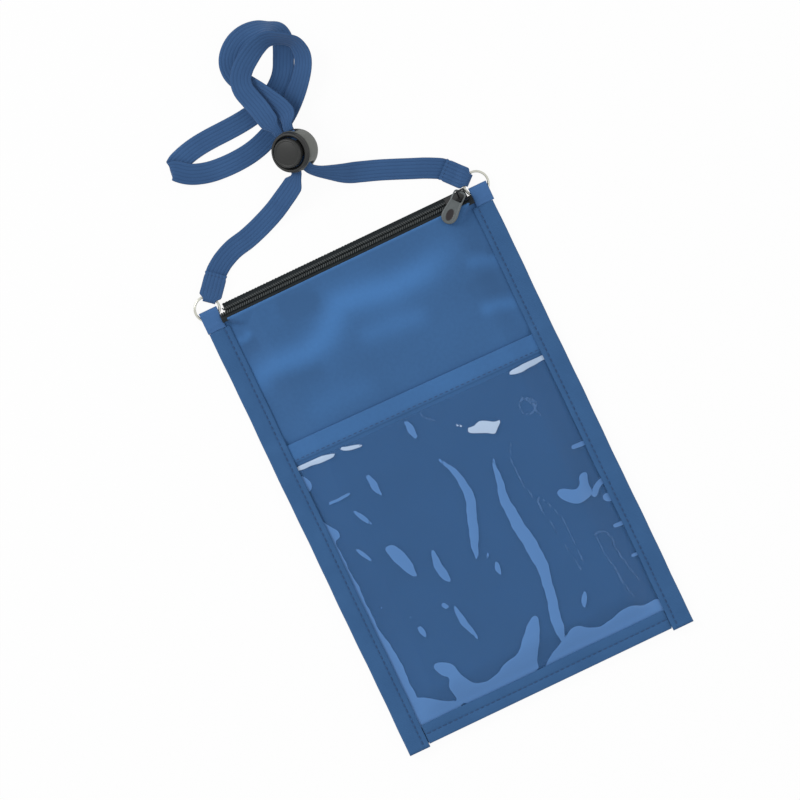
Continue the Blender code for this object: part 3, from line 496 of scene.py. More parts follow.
def inside(x, y, corners):
    """True where (x, y) is in the polygon: an odd number of edges crosses the ray to +X."""
    corners = np.asarray(corners, float)
    result = np.zeros(x.shape, bool)
    for (ax, ay), (bx, by) in zip(corners, np.roll(corners, -1, axis=0)):
        crosses = (ay > y) != (by > y)
        reach = ax + (y - ay) * (bx - ax) / (by - ay if by != ay else TINY)
        result ^= crosses & (x < reach)
    return result


# Sizes of the wallet in millimetres, the same as in the solids unless a line says else

# Thicknesses, the space between sewn layers, and from one layer to the next. The front and
# the slip pocket are drawn a little thinner than the cloth.
CLOTH = 0.35
DRAWN_CLOTH = 0.3
VINYL = 0.2
GAP = 0.3
PITCH = CLOTH + GAP

# Outline: to the outside of the bindings, to their inner edges, and to the panels' edges;
# the side bindings run on past the bottom one by the overrun
HALF_WIDTH = 69.85
INNER_HALF = 59.95
PANEL_HALF = 69.2
BOTTOM_Y = -108.3
PANEL_BOTTOM_Y = -107.65
BAND_TOP_Y = -99.3
TOP_Y = 108.3
BINDING_TOP_Y = 98.1
OVERRUN = 1.2

# Rear panel: its top edge, half the width of its high part, and from where it is squeezed
# to its lower edge beside that
BACK_TOP_Y = 107.6
BACK_TOP_HALF = 57.8
SQUEEZE_Y = 97.8

# The pocket's rise, the run of its ramps, the run of a step over a layer, and the slanted
# corners beside the zipper
RAMP = 14.0
RISE = 4.2
STEP = 1.2
CORNER_SLOPE = 1.15
CORNER_REACH = 62.2
CORNER_RAMP = 3.0

# Run over which the folds fade out at the sides and at the zipper
FOLD_SIDE_RUN = 5.0
FOLD_TOP_RUN = 6.0

# Slip pocket's hem, with the groove of its seam, and the window's top edge under it
HEM_MID_Y = 37.5
HEM_SLOPE = -0.017
HEM_DEPTH = 7.9
HEM_SEAM_INSET = 0.5
HEM_GROOVE = 0.22
HEM_GROOVE_WIDTH = 0.45
WINDOW_DROP = 10.3

# Zipper: middle and tilt of its chain, half its length, how far the front tape goes on
# beyond that to the tabs, which the solids leave out, half the width of its tilted band,
# and the top edge of the front with its height over the tape
ZIP_Y = 104.15
ZIP_Z = 2.7
TILT = math.radians(35)
ZIP_SHOWN = 60.3
TAPE_REACH = 1.7
BAND_HALF = 3.4
ZIP_FRONT_Y = 101.365
ZIP_FRONT_Z = 4.65
TAPE_UNDER = 0.794

# From the outer edge of a binding to its stitches
STITCH_INSET = 7.4
BOTTOM_STITCH_INSET = 4.6

# Added share of the light tone, as painted light and shade: on the folds, painted light on
# their ridges and painted shade in their hollows; on the hem, painted light; and along the
# front's top edge, a painted highlight
PAINTED_FOLD_LIGHT_AND_SHADE = 0.8
PAINTED_HEM_LIGHT = 0.28
PAINTED_EDGE_HIGHLIGHT = 0.45


def layer(index):
    """Mid-height of a sewn layer, counted up from the floor."""
    return CLOTH / 2 + index * PITCH


def hem_y(x):
    """Top edge of the slip pocket's hem."""
    return HEM_MID_Y + HEM_SLOPE * x


def hem_seam_y(x):
    """The stitches along the hem's lower edge."""
    return hem_y(x) - HEM_DEPTH + HEM_SEAM_INSET


# Soft folds of the front, as lines over the cloth: points, width and height, below zero
# for a hollow
FOLDS = [
    ([(-84, 69.5), (-60.6, 71.6), (-46.8, 71.9), (-34.2, 71.3), (-24, 74.9), (-17.1, 80.3),
      (-11.6, 85.1), (-1.3, 84.4), (13.5, 81.7), (27.7, 82.4), (39.7, 85.2), (58, 86)], 7.0, 0.85),
    ([(44.8, 78.0), (66.1, 72.7)], 3.5, 0.5),
    ([(41.6, 55.5), (51.9, 54.8), (62.1, 51.5)], 3.2, 0.55),
    ([(-14.3, 68.2), (1.2, 67.2), (16.4, 65.3), (26.3, 63.8)], 5.0, 0.4),
    ([(-61.1, 91.1), (-56.2, 89.2), (-51.9, 92.6)], 2.0, 0.45),
    ([(-59.6, 85.5), (-50.9, 85.7)], 2.6, -0.35),
    ([(-39, 94.9), (-27.3, 92.6), (-16.5, 90.6)], 5.0, -0.3),
    ([(56.6, 78.2), (60.6, 77.4)], 2.4, -0.3),
    ([(41.4, 66.2), (53.5, 64.7), (62.6, 61.4)], 3.5, -0.35),
    ([(-57.5, 67.4), (-42.4, 65.5), (-26.3, 63.3)], 5.0, -0.35),
    ([(-50, 46), (-30, 48), (-8, 46)], 6.0, 0.2),
]


def folds_at(x, y, fade, least):
    """The folds' bell shapes times their heights, added up. Each falls to the least share
    at the two ends of its line, the faster the larger the fade."""
    total = np.zeros(x.shape)
    for line, width, height in FOLDS:
        distance, share = from_line(x, y, line)
        ends = smooth(np.minimum(share, 1 - share) * fade)
        total += height * bell(distance, width) * mix(least, 1, ends)
    return total


def pocket_lift(x, y):
    """Height of the front over its margin: it rises from the seams in smooth ramps, ends
    at the zipper, and carries the folds, which fade out at the seams."""
    foot = smooth((y - BAND_TOP_Y) / RAMP)
    side = smooth((INNER_HALF - abs(x)) / RAMP)
    inward = abs(x) + (ZIP_FRONT_Y - y) * CORNER_SLOPE
    corner = smooth((CORNER_REACH - inward) / CORNER_RAMP)
    head = smooth(1 - (ZIP_FRONT_Y - y) / RAMP)
    zip_lift = ZIP_FRONT_Z + TAPE_UNDER - layer(2)
    lift = np.maximum(mix(RISE, zip_lift, head) * foot * side, head * zip_lift * corner)
    inner = smooth((INNER_HALF - abs(x)) / FOLD_SIDE_RUN)
    inner = inner * smooth((ZIP_FRONT_Y - y) / FOLD_TOP_RUN)
    return lift + folds_at(x, y, fade=5, least=0.25) * inner


def painted_light_and_shade(x, y):
    """Painted light and shade of the folds at a point: the cloth drawn lighter on ridges and
    darker in hollows.
    """
    return PAINTED_FOLD_LIGHT_AND_SHADE * folds_at(x, y, fade=4, least=0)


def back_height(x, y):
    """The rear cloth lies on the floor, and one layer up over the bindings' back legs."""
    side = smooth((abs(x) - INNER_HALF + GAP + STEP) / STEP)
    foot = smooth((BAND_TOP_Y + GAP + STEP - y) / STEP)
    return mix(layer(0), layer(1), np.maximum(side, foot))


# Columns of the panels, closest together where the pocket rises at its sides
RIGHT_COLUMNS = stations(0, (45, 1.4), (INNER_HALF, 0.9), (PANEL_HALF, 1.6))
PANEL_X = np.concatenate([-RIGHT_COLUMNS[:0:-1], RIGHT_COLUMNS])


# Cloth panels

def back_cloth():
    """Flat rear cloth, z = back height, its top edge lower beside the tabs of the rings."""
    flat = stations(PANEL_BOTTOM_Y, (BAND_TOP_Y + GAP + STEP, 0.6), (97, 4.0), (BACK_TOP_Y, 0.8))
    x, y = np.meshgrid(PANEL_X, flat)
    beside = np.clip((abs(x) - BACK_TOP_HALF) / STEP, 0, 1)
    top = mix(BACK_TOP_Y, ZIP_FRONT_Y, beside)
    squeezed = SQUEEZE_Y + (y - SQUEEZE_Y) * (top - SQUEEZE_Y) / (BACK_TOP_Y - SQUEEZE_Y)
    y = np.where(y > SQUEEZE_Y, squeezed, y)
    piece = surface("cloth_back", joined(x, y, back_height(x, y)), CLOTH_FINISH,
                    cloth=joined(x, y))
    thicken(piece, CLOTH)
    return attach(piece, "wallet", "cloth", "back_panel")


def front_cloth():
    """Front of the main pocket, z = layer plus lift, its top edge rolled under at the zip."""
    ys = stations(PANEL_BOTTOM_Y, (BAND_TOP_Y, 3.0), (34, 2.0), (ZIP_FRONT_Y - 0.5, 0.9))
    x, y = np.meshgrid(PANEL_X, ys)
    z = layer(2) + pocket_lift(x, y)
    roll = np.linspace(0, math.pi, 9)[1:, None]
    roll_out, roll_down = 0.45, 0.35
    roll_y = ys[-1] + roll_out * np.sin(roll)
    roll_z = z[-1] - roll_down + roll_down * np.cos(roll)
    points = np.concatenate([joined(x, y, z), joined(PANEL_X, roll_y, roll_z)])
    flat = np.concatenate([joined(x, y), joined(PANEL_X, ys[-1] + roll_down * roll)])
    piece = surface("cloth_front", points, CLOTH_FINISH, cloth=flat)
    # a painted highlight along the rolled top edge at the zipper
    edge_start = ZIP_FRONT_Y - 0.8
    painted_edge_highlight = PAINTED_EDGE_HIGHLIGHT * smooth((flat[..., 1] - edge_start) / 0.5)
    carry(piece, "painted_light_and_shade", painted_light_and_shade(flat[..., 0], flat[..., 1]) + painted_edge_highlight)
    thicken(piece, DRAWN_CLOTH)
    return attach(piece, "wallet", "cloth", "front_panel")


def slip_cloth():
    """Slip pocket: face up to the hem's foot, the raised hem with the groove of its seam,
    its rolled top and inner leg."""
    top = hem_y(PANEL_X) - PITCH / 2
    foot = hem_y(PANEL_X) - HEM_DEPTH - STEP
    lower = stations(PANEL_BOTTOM_Y, (BAND_TOP_Y, 3.0), (BAND_TOP_Y + RAMP, 1.2))
    y = np.concatenate([np.broadcast_to(lower[:, None], (len(lower), len(PANEL_X))),
                        between(lower[-1], foot, 60), between(foot, foot + STEP, 6),
                        between(foot + STEP, top, 9)])
    x = np.broadcast_to(PANEL_X, y.shape)
    rise = smooth((y - foot) / STEP)
    groove = HEM_GROOVE * bell(y - hem_seam_y(x), HEM_GROOVE_WIDTH)
    z = layer(3) + pocket_lift(x, y) + PITCH * rise - groove
    roll = np.linspace(0, math.pi, 8)[1:, None]
    middle = layer(3) + pocket_lift(PANEL_X, top) + PITCH / 2
    roll_y = top + PITCH / 2 * np.sin(roll)
    roll_z = middle + PITCH / 2 * np.cos(roll)
    leg_y = between(top, foot + STEP + GAP, 4)
    leg_z = np.broadcast_to(middle - PITCH / 2, leg_y.shape)
    y = np.concatenate([y, roll_y, leg_y])
    z = np.concatenate([z, roll_z, leg_z])
    piece = surface("cloth_slip", joined(PANEL_X, y, z), CLOTH_FINISH,
                    cloth=joined(PANEL_X, profile_arc(y, z)))
    # the hem's raised face is drawn lighter: painted light
    carry(piece, "painted_light_and_shade", PAINTED_HEM_LIGHT * smooth((y - foot - STEP) / 1.5))
    thicken(piece, DRAWN_CLOTH)
    return attach(piece, "wallet", "cloth", "slip_pocket_panel")


# Vinyl window: its lift under its painted highlights and the run of that, its ripples, how
# much lower than its layer it lies, and the width and run along its seams where it is held flat
SHINE_LIFT = 0.45
SHINE_RUN = 3.0
RIPPLE = 0.08
VINYL_SINK = 0.1
HELD = 1.0
HELD_RUN = 5.0

# Outlines of the highlights painted on the vinyl: strokes as (x, y, half width), and patches
PALE_STROKES = [
    [(-1.1, 4.0, 0.7), (2.3, -3.6, 1.4), (4.0, -11.0, 1.8), (3.3, -18.6, 2.4), (-0.1, -27.5, 2.1),
     (-3.0, -35.4, 2.1), (-5.2, -42.9, 0.6)],
    [(20.0, -6.1, 0.6), (19.0, -14.2, 1.4), (17.0, -22.5, 2.1), (17.2, -33.1, 2.6),
     (18.5, -44.3, 3.0), (19.8, -55.5, 3.0), (18.4, -66.7, 2.1), (15.9, -77.4, 2.4),
     (14.0, -87.1, 2.4), (13.5, -91.4, 1.0)],
    [(-23.9, -58.0, 0.7), (-22.7, -65.6, 1.8), (-20.3, -75.3, 0.6)],
    [(54.5, -16.8, 1.1), (64.0, -17.4, 1.1)],
    [(54.4, -39.6, 1.4), (58.3, -35.6, 1.4), (64.0, -35.9, 1.2)],
    [(-53.7, 7.0, 0.7), (-44.1, 7.6, 0.7)],
    [(-7.8, 25.0, 1.0), (-7.1, 21.3, 1.8), (-6.4, 17.5, 1.0)],
    [(-33.4, 10.8, 1.0), (-32.4, 6.1, 1.9), (-31.6, 1.4, 0.7)],
    [(-45.6, -0.4, 0.6), (-43.4, -4.6, 1.3), (-41.0, -8.9, 0.5)],
    [(-52.0, -16.6, 0.6), (-50.0, -19.8, 1.1), (-48.0, -23.2, 0.6)],
    [(-0.1, -42.7, 0.5), (-0.9, -44.4, 0.7)],
    [(1.7, -47.8, 0.7), (1.4, -50.4, 1.5), (1.1, -53.1, 0.7)],
    [(-27.4, -55.0, 1.2), (-26.9, -56.2, 1.2)],
    [(-41.9, -59.4, 0.8), (-41.2, -61.7, 1.4), (-40.5, -64.1, 0.8)],
    [(-53.5, -44.2, 0.5), (-53.3, -44.6, 0.5)],
    [(-43.0, -53.6, 0.6), (-42.8, -54.0, 0.6)],
    [(31.4, -76.8, 0.7), (30.1, -79.7, 1.5), (28.8, -82.5, 0.7)],
    [(58.8, -43.5, 2.1), (64.0, -43.6, 2.1)],
    [(56.3, -56.4, 1.0), (64.0, -56.4, 1.0)],
    [(57.8, -71.6, 0.8), (64.0, -72.0, 0.8)],
    [(60.9, -78.0, 0.7), (64.0, -78.5, 0.7)],
    [(60.1, -27.8, 0.6), (64.0, -26.8, 0.6)],
]
FAINT_STROKES = [
    [(43.3, 13.2, 0.4), (46.9, 8.2, 0.5), (47.5, 2.6, 0.4)],
    [(-0.9, 27.0, 0.4), (0.7, 23.6, 0.5), (4.0, 20.7, 0.4)],
    [(30.6, -1.3, 0.3), (25.8, -14.1, 0.4), (30.2, -33.8, 0.4), (32.1, -51.0, 0.4),
     (34.4, -67.2, 0.3)],
    [(31.0, -29.8, 0.3), (35.9, -37.8, 0.4), (37.7, -52.5, 0.4), (36.0, -70.5, 0.3)],
    [(46.4, -55.4, 0.3), (47.7, -71.1, 0.4), (50.0, -87.3, 0.3)],
    [(46.4, -55.4, 0.3), (52.5, -55.7, 0.4), (52.7, -71.0, 0.4), (56.0, -82.6, 0.3)],
    [(48.1, 8.6, 0.4), (46.9, 11.4, 0.4), (44.1, 12.6, 0.4), (41.3, 11.4, 0.4), (40.1, 8.6, 0.4),
     (41.3, 5.8, 0.4), (44.1, 4.6, 0.4), (46.9, 5.8, 0.4), (48.1, 8.6, 0.4)],
]
BRIGHT_STROKES = [
    [(11.9, 14.6, 0.5), (14.1, 13.0, 0.5)],
]
PALE_PATCHES = [
    [(-40.4, -20.5), (-35.9, -21.3), (-33.3, -25.6), (-32.1, -32.7), (-32.3, -39.6),
     (-34.9, -37.3), (-38.5, -31.0), (-40.0, -24.3)],
    [(-21.0, -29.4), (-20.6, -34.9), (-19.6, -42.6), (-20.0, -48.1), (-23.0, -45.6),
     (-24.2, -39.8), (-23.1, -32.4)],
    [(39.3, -31.1), (42.1, -30.9), (47.1, -34.2), (49.8, -32.8), (51.0, -29.4), (53.8, -28.4),
     (55.6, -29.7), (53.5, -33.3), (54.4, -38.3), (51.0, -40.0), (46.1, -40.5), (41.6, -37.5),
     (39.1, -34.3)],
    [(-63.5, 26.1), (-58.4, 22.8), (-56.8, 18.0), (-58.3, 16.1), (-63.5, 16.1)],
    [(-63.5, 10.8), (-60.5, 3.3), (-58.0, -2.6), (-55.3, -5.8), (-55.9, -8.8), (-58.7, -8.2),
     (-58.8, -14.0), (-58.6, -23.4), (-57.9, -32.9), (-58.3, -42.0), (-58.1, -52.7),
     (-56.9, -59.8), (-55.4, -67.0), (-55.9, -77.2), (-55.6, -90.8), (-63.5, -90.8)],
    [(-63.5, -86.1), (-55.5, -87.2), (-50.9, -90.2), (-42.0, -95.3), (-38.3, -97.6),
     (-42.0, -101.5), (-63.5, -101.5)],
    [(-43.8, -76.7), (-39.5, -77.4), (-34.4, -80.5), (-34.6, -85.0), (-30.7, -92.1),
     (-25.1, -94.2), (-19.5, -93.5), (-13.4, -89.2), (-7.8, -89.9), (-2.1, -83.4), (4.2, -77.1),
     (7.1, -76.5), (8.5, -79.2), (5.2, -85.5), (0.2, -93.7), (-2.6, -101.5),
     (-38.6, -101.5), (-40.9, -91.3), (-41.2, -87.8),
     (-38.8, -85.6), (-42.1, -82.8)],
    [(-3.0, -102.5), (1.7, -99.0), (4.0, -96.8), (12.5, -92.9), (20.7, -87.3), (28.0, -93.7),
     (37.6, -93.0), (46.6, -90.2), (54.1, -94.3), (60.7, -92.8), (64.0, -101.5)],
]
BRIGHT_PATCHES = [
    [(-63.5, 27.3), (-59.0, 28.6), (-51.1, 28.5), (-42.5, 27.1), (-42.3, 25.4), (-50.0, 25.3),
     (-58.8, 26.2)],
    [(-39.7, 28.1), (-36.7, 26.9), (-28.9, 25.2), (-30.7, 24.1), (-36.3, 24.8), (-39.3, 26.2)],
    [(41.8, 25.2), (47.1, 26.6), (54.9, 26.5), (64.0, 26.4), (64.0, 24.4), (56.2, 23.6),
     (48.3, 23.6), (44.3, 23.7)],
    [(15.8, 11.8), (18.5, 10.9), (21.6, 11.9), (24.8, 10.4), (27.8, 8.3), (30.2, 8.5), (30.3, 7.5),
     (27.9, 5.3), (25.9, 3.0), (23.6, 5.0), (19.4, 7.4), (15.0, 9.1)],
]
PAINTED_SHINE_OUTLINES = {"faint": (FAINT_STROKES, []), "pale": (PALE_STROKES, PALE_PATCHES),
                  "bright": (BRIGHT_STROKES, BRIGHT_PATCHES)}


def softened(line, closed):
    """The line with its corners cut twice: each stretch keeps its share from 1/4 to 3/4."""
    line = np.asarray(line, float)
    for _ in range(2):
        ends = np.roll(line, -1, axis=0) if closed else line[1:]
        starts = line if closed else line[:-1]
        cut = np.stack([mix(starts, ends, 0.25), mix(starts, ends, 0.75)], axis=1)
        cut = cut.reshape(-1, line.shape[1])
        line = cut if closed else np.concatenate([line[:1], cut[1:-1], line[-1:]])
    return line


def outline_distance(x, y, strokes, patches):
    """Least distance outside the outlines, negative inside: for a stroke, the distance
    from its line less its half width there; for a patch, the distance from its edge."""
    best = np.full(x.shape, 50.0)
    for stroke in strokes:
        stroke = softened(stroke, closed=False)
        distance, share = from_line(x, y, stroke)
        arcs = lengths_along(stroke[:, :2])
        best = np.minimum(best, distance - np.interp(share, arcs / arcs[-1], stroke[:, 2]))
    for patch in patches:
        patch = softened(patch, closed=True)
        distance, _ = from_line(x, y, patch, closed=True)
        best = np.minimum(best, np.where(inside(x, y, patch), -distance, distance))
    return best


def vinyl_sheet():
    """Clear sheet over the slip pocket, rippled, and lifted a little under its painted
    highlights. Their outlines wander by small sines across and along, so that none is quite
    straight."""
    lower = stations(PANEL_BOTTOM_Y, (BAND_TOP_Y, 3.0), (BAND_TOP_Y + RAMP, 0.8))
    top = hem_y(PANEL_X) - WINDOW_DROP
    margin = np.broadcast_to(lower[:, None], (len(lower), len(PANEL_X)))
    y = np.concatenate([margin, between(lower[-1], top, 140)])
    x = np.broadcast_to(PANEL_X, y.shape)
    near_x = x + 0.2 * np.sin(y * 0.45) + 0.1 * np.sin(y * 1.1 + x * 0.3)
    near_y = y + 0.2 * np.sin(x * 0.4 + 1.0) + 0.1 * np.sin(x * 0.9 + y * 0.35)
    edges = {label: outline_distance(near_x, near_y, *PAINTED_SHINE_OUTLINES[label]) for label in PAINTED_SHINES}
    nearest = np.minimum(edges["pale"], edges["bright"])
    lifted = SHINE_LIFT * smooth(0.5 - nearest / SHINE_RUN)
    ripple = RIPPLE * (1 + np.sin(x * 0.23 + 0.9 * np.sin(y * 0.11)) * np.sin(y * 0.17 + 0.7))
    free = smooth((INNER_HALF - HELD - abs(x)) / HELD_RUN)
    free = free * smooth((y - BAND_TOP_Y - HELD) / HELD_RUN)
    rest = (CLOTH + VINYL) / 2 + GAP - VINYL_SINK
    z = layer(3) + pocket_lift(x, y) + rest + (lifted + ripple) * free
    piece = surface("vinyl_window", joined(x, y, z), VINYL_FINISH, cloth=joined(x, y))
    # distances to the outlines of the painted highlights, for the finish
    for label, distance in edges.items():
        carry(piece, label + "_edge", distance)
    thicken(piece, VINYL)
    return attach(piece, "wallet", "vinyl", "clear_window")


# Bindings

# Run over which the front leg falls at the hem; depth and width of the stitches' groove;
# height, place from the outer edge and width of each swell beside it; and how much the map
# stretches round the fold, on a side and at the bottom
LEG_RUN = 4.0
GROOVE = (0.3, 0.5)
BOTTOM_GROOVE = (0.28, 0.5)
SWELLS = ((0.16, 4.2, 2.2), (0.1, 8.8, 0.6))
BOTTOM_SWELLS = ((0.16, 2.5, 1.4), (0.16, 7.0, 1.4))
FOLD_STRETCH = 2.5
BOTTOM_STRETCH = 3.2


def folded_tape(inner, outer, columns):
    """Profile of a tape folded round an edge: its places from the inner edge of the back
    leg to that of the front leg, and its heights, 0 on the back leg and 1 on the front."""
    back = np.linspace(inner, outer, 5)
    front = np.linspace(outer, inner, columns)
    outwards = math.copysign(PITCH - CLOTH / 2, outer - inner)
    places = np.concatenate([back, outer + outwards * np.sin(HALF_TURN), front])
    heights = np.concatenate([0 * back, (1 - np.cos(HALF_TURN)) / 2, 0 * front + 1])
    return places, heights


def binding_relief(inset, groove, groove_inset, swells):
    """Height of a binding's front leg over its middle plane: swells less the groove."""
    raised = sum(height * bell(inset - place, width) for height, place, width in swells)
    return raised - groove[0] * bell(inset - groove_inset, groove[1])


def binding_front(x, y):
    """Height of a binding's front leg: high over the slip pocket, lower above its hem."""
    return mix(layer(5), layer(3), smooth((y - hem_y(x) - GAP) / LEG_RUN))


def side_binding(side, name, node):
    """Folded tape: back leg, half round fold and front leg, with a groove at the stitches,
    a shallow swell on each side of it, and small puckers and waves."""
    offsets, heights = folded_tape(INNER_HALF, HALF_WIDTH - PITCH, 31)
    inset = HALF_WIDTH - offsets
    relief = binding_relief(inset, GROOVE, STITCH_INSET, SWELLS)
    ys = stations(BOTTOM_Y - OVERRUN, (BINDING_TOP_Y, 1.6))
    shape, y = np.meshgrid(heights, ys)
    high = binding_front(side * HALF_WIDTH, y)
    pucker = 0.05 * np.sin(y * 1.9) * bell(inset - STITCH_INSET, 1.6)
    wave = 0.14 * np.sin(y * 0.09 + side) + 0.08 * np.sin(y * 0.31)
    x = side * (offsets + wave * 0.6 * (shape > 0.1))
    z = mix(layer(0), high, shape) + (relief + pucker) * (shape == 1)
    arcs = profile_arc(offsets, FOLD_STRETCH * heights)
    piece = surface(name, joined(x, y, z), BINDING_FINISH, cloth=joined(arcs, y))
    thicken(piece, CLOTH)
    return attach(piece, "wallet", "binding", node)


def bottom_binding():
    """Folded tape round the bottom edge, with its stitch groove along the middle."""
    ys, heights = folded_tape(BAND_TOP_Y, BOTTOM_Y + PITCH, 27)
    relief = binding_relief(ys - BOTTOM_Y, BOTTOM_GROOVE, BOTTOM_STITCH_INSET, BOTTOM_SWELLS)
    half = INNER_HALF - GAP
    x, shape = np.meshgrid(stations(-half, (half, 1.8)), heights)
    y = ys[:, None] + 0.1 * np.sin(x * 0.11) * (shape == 1)
    z = mix(layer(0), layer(5), shape) + relief[:, None] * (shape == 1)
    arcs = profile_arc(ys, BOTTOM_STRETCH * heights)
    piece = surface("binding_bottom", joined(x, y, z), BINDING_FINISH,
                    cloth=joined(arcs[:, None], x))
    thicken(piece, CLOTH)
    return attach(piece, "wallet", "binding", "bottom_binding")


# Stitches

# Rings of a bar of thread: place s from -1 to 1 and share of the radius; then its arch,
# its height as a share of its width, and how deep a row of bars is sunk in the cloth
BAR_SHARES = np.array([-1, -0.82, -0.35, 0.35, 0.82, 1])
BAR_RADII = np.array([0.3, 0.85, 1, 1, 0.85, 0.3])
BAR_ARCH = 0.12
BAR_FLATNESS = 0.7
BAR_SUNK = 0.2


def stitches(name, paths, slot, length=1.9, space=0.7, radius=0.2):
    """Bars of thread along each path, as many as fit: bar n of N is centred at the share
    (n + 1/2) / N of the path. It is six-sided and a little flat, its radius falls at both
    ends, and it arches over the cloth by the bar's arch times (1 - s^2)."""
    cos, sin = np.cos(turns(6))[:, None], np.sin(turns(6))[:, None]
    reach = BAR_SHARES[:, None, None] * length / 2
    thick = radius * BAR_RADII[:, None, None]
    arch = BAR_ARCH * (1 - BAR_SHARES ** 2)[:, None, None]
    grids = []
    for path in paths:
        arcs = lengths_along(path)
        count = max(1, int(arcs[-1] // (length + space)))
        centres = (np.arange(count) + 0.5) * arcs[-1] / count
        ahead = point_at(path, arcs, np.minimum(centres + length / 2, arcs[-1]))
        along = ahead - point_at(path, arcs, np.maximum(centres - length / 2, 0))
        along /= np.linalg.norm(along, axis=1)[:, None]
        side = np.cross(along, UPRIGHT)
        side /= np.linalg.norm(side, axis=1)[:, None]
        above = np.cross(side, along)
        grids.append(point_at(path, arcs, centres)[:, None, None]
                     + along[:, None, None] * reach
                     + side[:, None, None] * thick * cos
                     + above[:, None, None] * (thick * BAR_FLATNESS * sin + arch))
    piece = surface(name, np.concatenate(grids), THREAD_FINISH, around=True, capped=True)
    return attach(piece, "wallet", slot)


# Zipper

# Half the space between the tapes, half the length over which the front's tape follows
# the pocket's rise, the width of its sewn part, and from row to row in the tapes' maps
TAPE_PARTING = 0.12
SEAM_HALF = 57.4
SEAM_WIDTH = 1.2
TAPE_MAP_STEP = 0.4

# Coil rows: pitch, radius of the filament, half the length of the rear row, and the middle
# and half size of the helix across the plane and up from it
COIL_PITCH = 1.05
COIL_WIRE = 0.27
COIL_HALF = ZIP_SHOWN - 0.6
COIL_ACROSS = (1.1, 0.56)
COIL_UP = (1.0, 0.34)


def zip_point(x, across, up):
    """Point of the chain's tilted plane: across runs down the tilt, up stands on it."""
    y = ZIP_Y + across * math.cos(TILT) + up * math.sin(TILT)
    z = ZIP_Z - across * math.sin(TILT) + up * math.cos(TILT)
    return joined(x, y, z)


def tape(name, points, node):
    """One tape of the zip as a thin sheet, its map running along the chain."""
    rows = np.arange(len(points))[:, None] * TAPE_MAP_STEP
    piece = surface(name, points, TAPE_FINISH, cloth=joined(rows, points[..., 0]))
    thicken(piece, CLOTH)
    attach(piece, "wallet", "zipper_tape", node)


def front_tape():
    """Front tape: sewn under the top edge of the front, then the tilted band at the chain,
    as long as the space between the two tabs."""
    xs = stations(-ZIP_SHOWN - TAPE_REACH, (ZIP_SHOWN + TAPE_REACH, 1.5))
    across = np.linspace(-BAND_HALF + 0.25, -TAPE_PARTING, 8)[:, None]
    seam_x, seam_y = np.meshgrid(xs, ZIP_FRONT_Y - SEAM_WIDTH * np.linspace(1, 0, 4))
    lift = pocket_lift(np.clip(seam_x, -SEAM_HALF, SEAM_HALF), seam_y)
    seam = joined(seam_x, seam_y, layer(2) + lift - TAPE_UNDER - 0.3)
    tape("zip_tape_front", np.concatenate([seam, zip_point(xs, across, 0)]), "zipper_tape_front")


def rear_tape():
    """Rear tape: the tilted band at the chain, then the flat part on the rear cloth, its
    far edge a little ragged, more so to the left."""
    flat_start = (ZIP_Z - layer(1)) / math.sin(TILT)
    flat_y = ZIP_Y + flat_start * math.cos(TILT)
    half = ZIP_SHOWN - 1.4
    xs = stations(-half, (half, 0.45))
    across = np.linspace(TAPE_PARTING, flat_start, 8)[:, None]
    ragged = 0.12 * np.sin(xs * 4.4) * (1 + 0.5 * np.sin(xs * 1.3)) * smooth((20 - xs) / 25)
    outwards = np.linspace(0, 1, 5)[1:, None]
    seam_y = mix(flat_y, TOP_Y - 0.15, outwards) + ragged * outwards ** 4
    seam = joined(xs, seam_y, layer(1))
    tape("zip_tape_rear", np.concatenate([zip_point(xs, across, 0), seam]), "zipper_tape_rear")


def tube(name, path, radius, finish, sides):
    """A round tube along a path: circles square to the path, one axis of each also square
    to the leaning upright."""
    along = np.gradient(path, axis=0)
    along /= np.linalg.norm(along, axis=1)[:, None]
    side = np.cross(along, LEANING)
    side /= np.linalg.norm(side, axis=1)[:, None]
    above = np.cross(side, along)
    cos, sin = np.cos(turns(sides))[:, None], np.sin(turns(sides))[:, None]
    points = path[:, None] + radius * (side[:, None] * cos + above[:, None] * sin)
    return surface(name, points, finish, around=True, capped=True)


def coils():
    """Each coil row is one filament: a flattened helix, across = c + a cos t,
    up = b + h sin t, and x grows by the pitch in each turn. The front row starts at the
    left tab, like its tape."""
    rows = (("coil_row_front", "zipper_coil_front", -1, COIL_HALF + TAPE_REACH),
            ("coil_row_rear", "zipper_coil_rear", 1, COIL_HALF))
    for name, node, side, start in rows:
        count = (COIL_HALF + start) / COIL_PITCH
        t = np.linspace(0, count * 2 * math.pi, int(count * 12))
        x = -start + COIL_PITCH * t / (2 * math.pi)
        across = side * (COIL_ACROSS[0] + COIL_ACROSS[1] * np.cos(t))
        up = COIL_UP[0] + COIL_UP[1] * np.sin(t)
        row = tube(name, zip_point(x, across, up), COIL_WIRE, COIL_FINISH, 6)
        attach(row, "wallet", "zipper_coil", node)


# Rings

# Middles of the rings, radius to the middle of the wire and its height, and half the wire's
# thickness, in the solids and as shown
RING_CENTRES = {"left": (-65.8, 108.9), "right": (66.2, 107.7)}
RING_RADIUS = 5.5
RING_Z = 1.8
WIRE_HALF = 0.5
WIRE_SHOWN = 0.55

# Cloth tabs round the rings: middle, half width, and how far the front leg goes under the
# binding
LOOP_X = {"left": -65.9, "right": 66.3}
LOOP_HALF = 4.3
LOOP_TUCK = 0.25

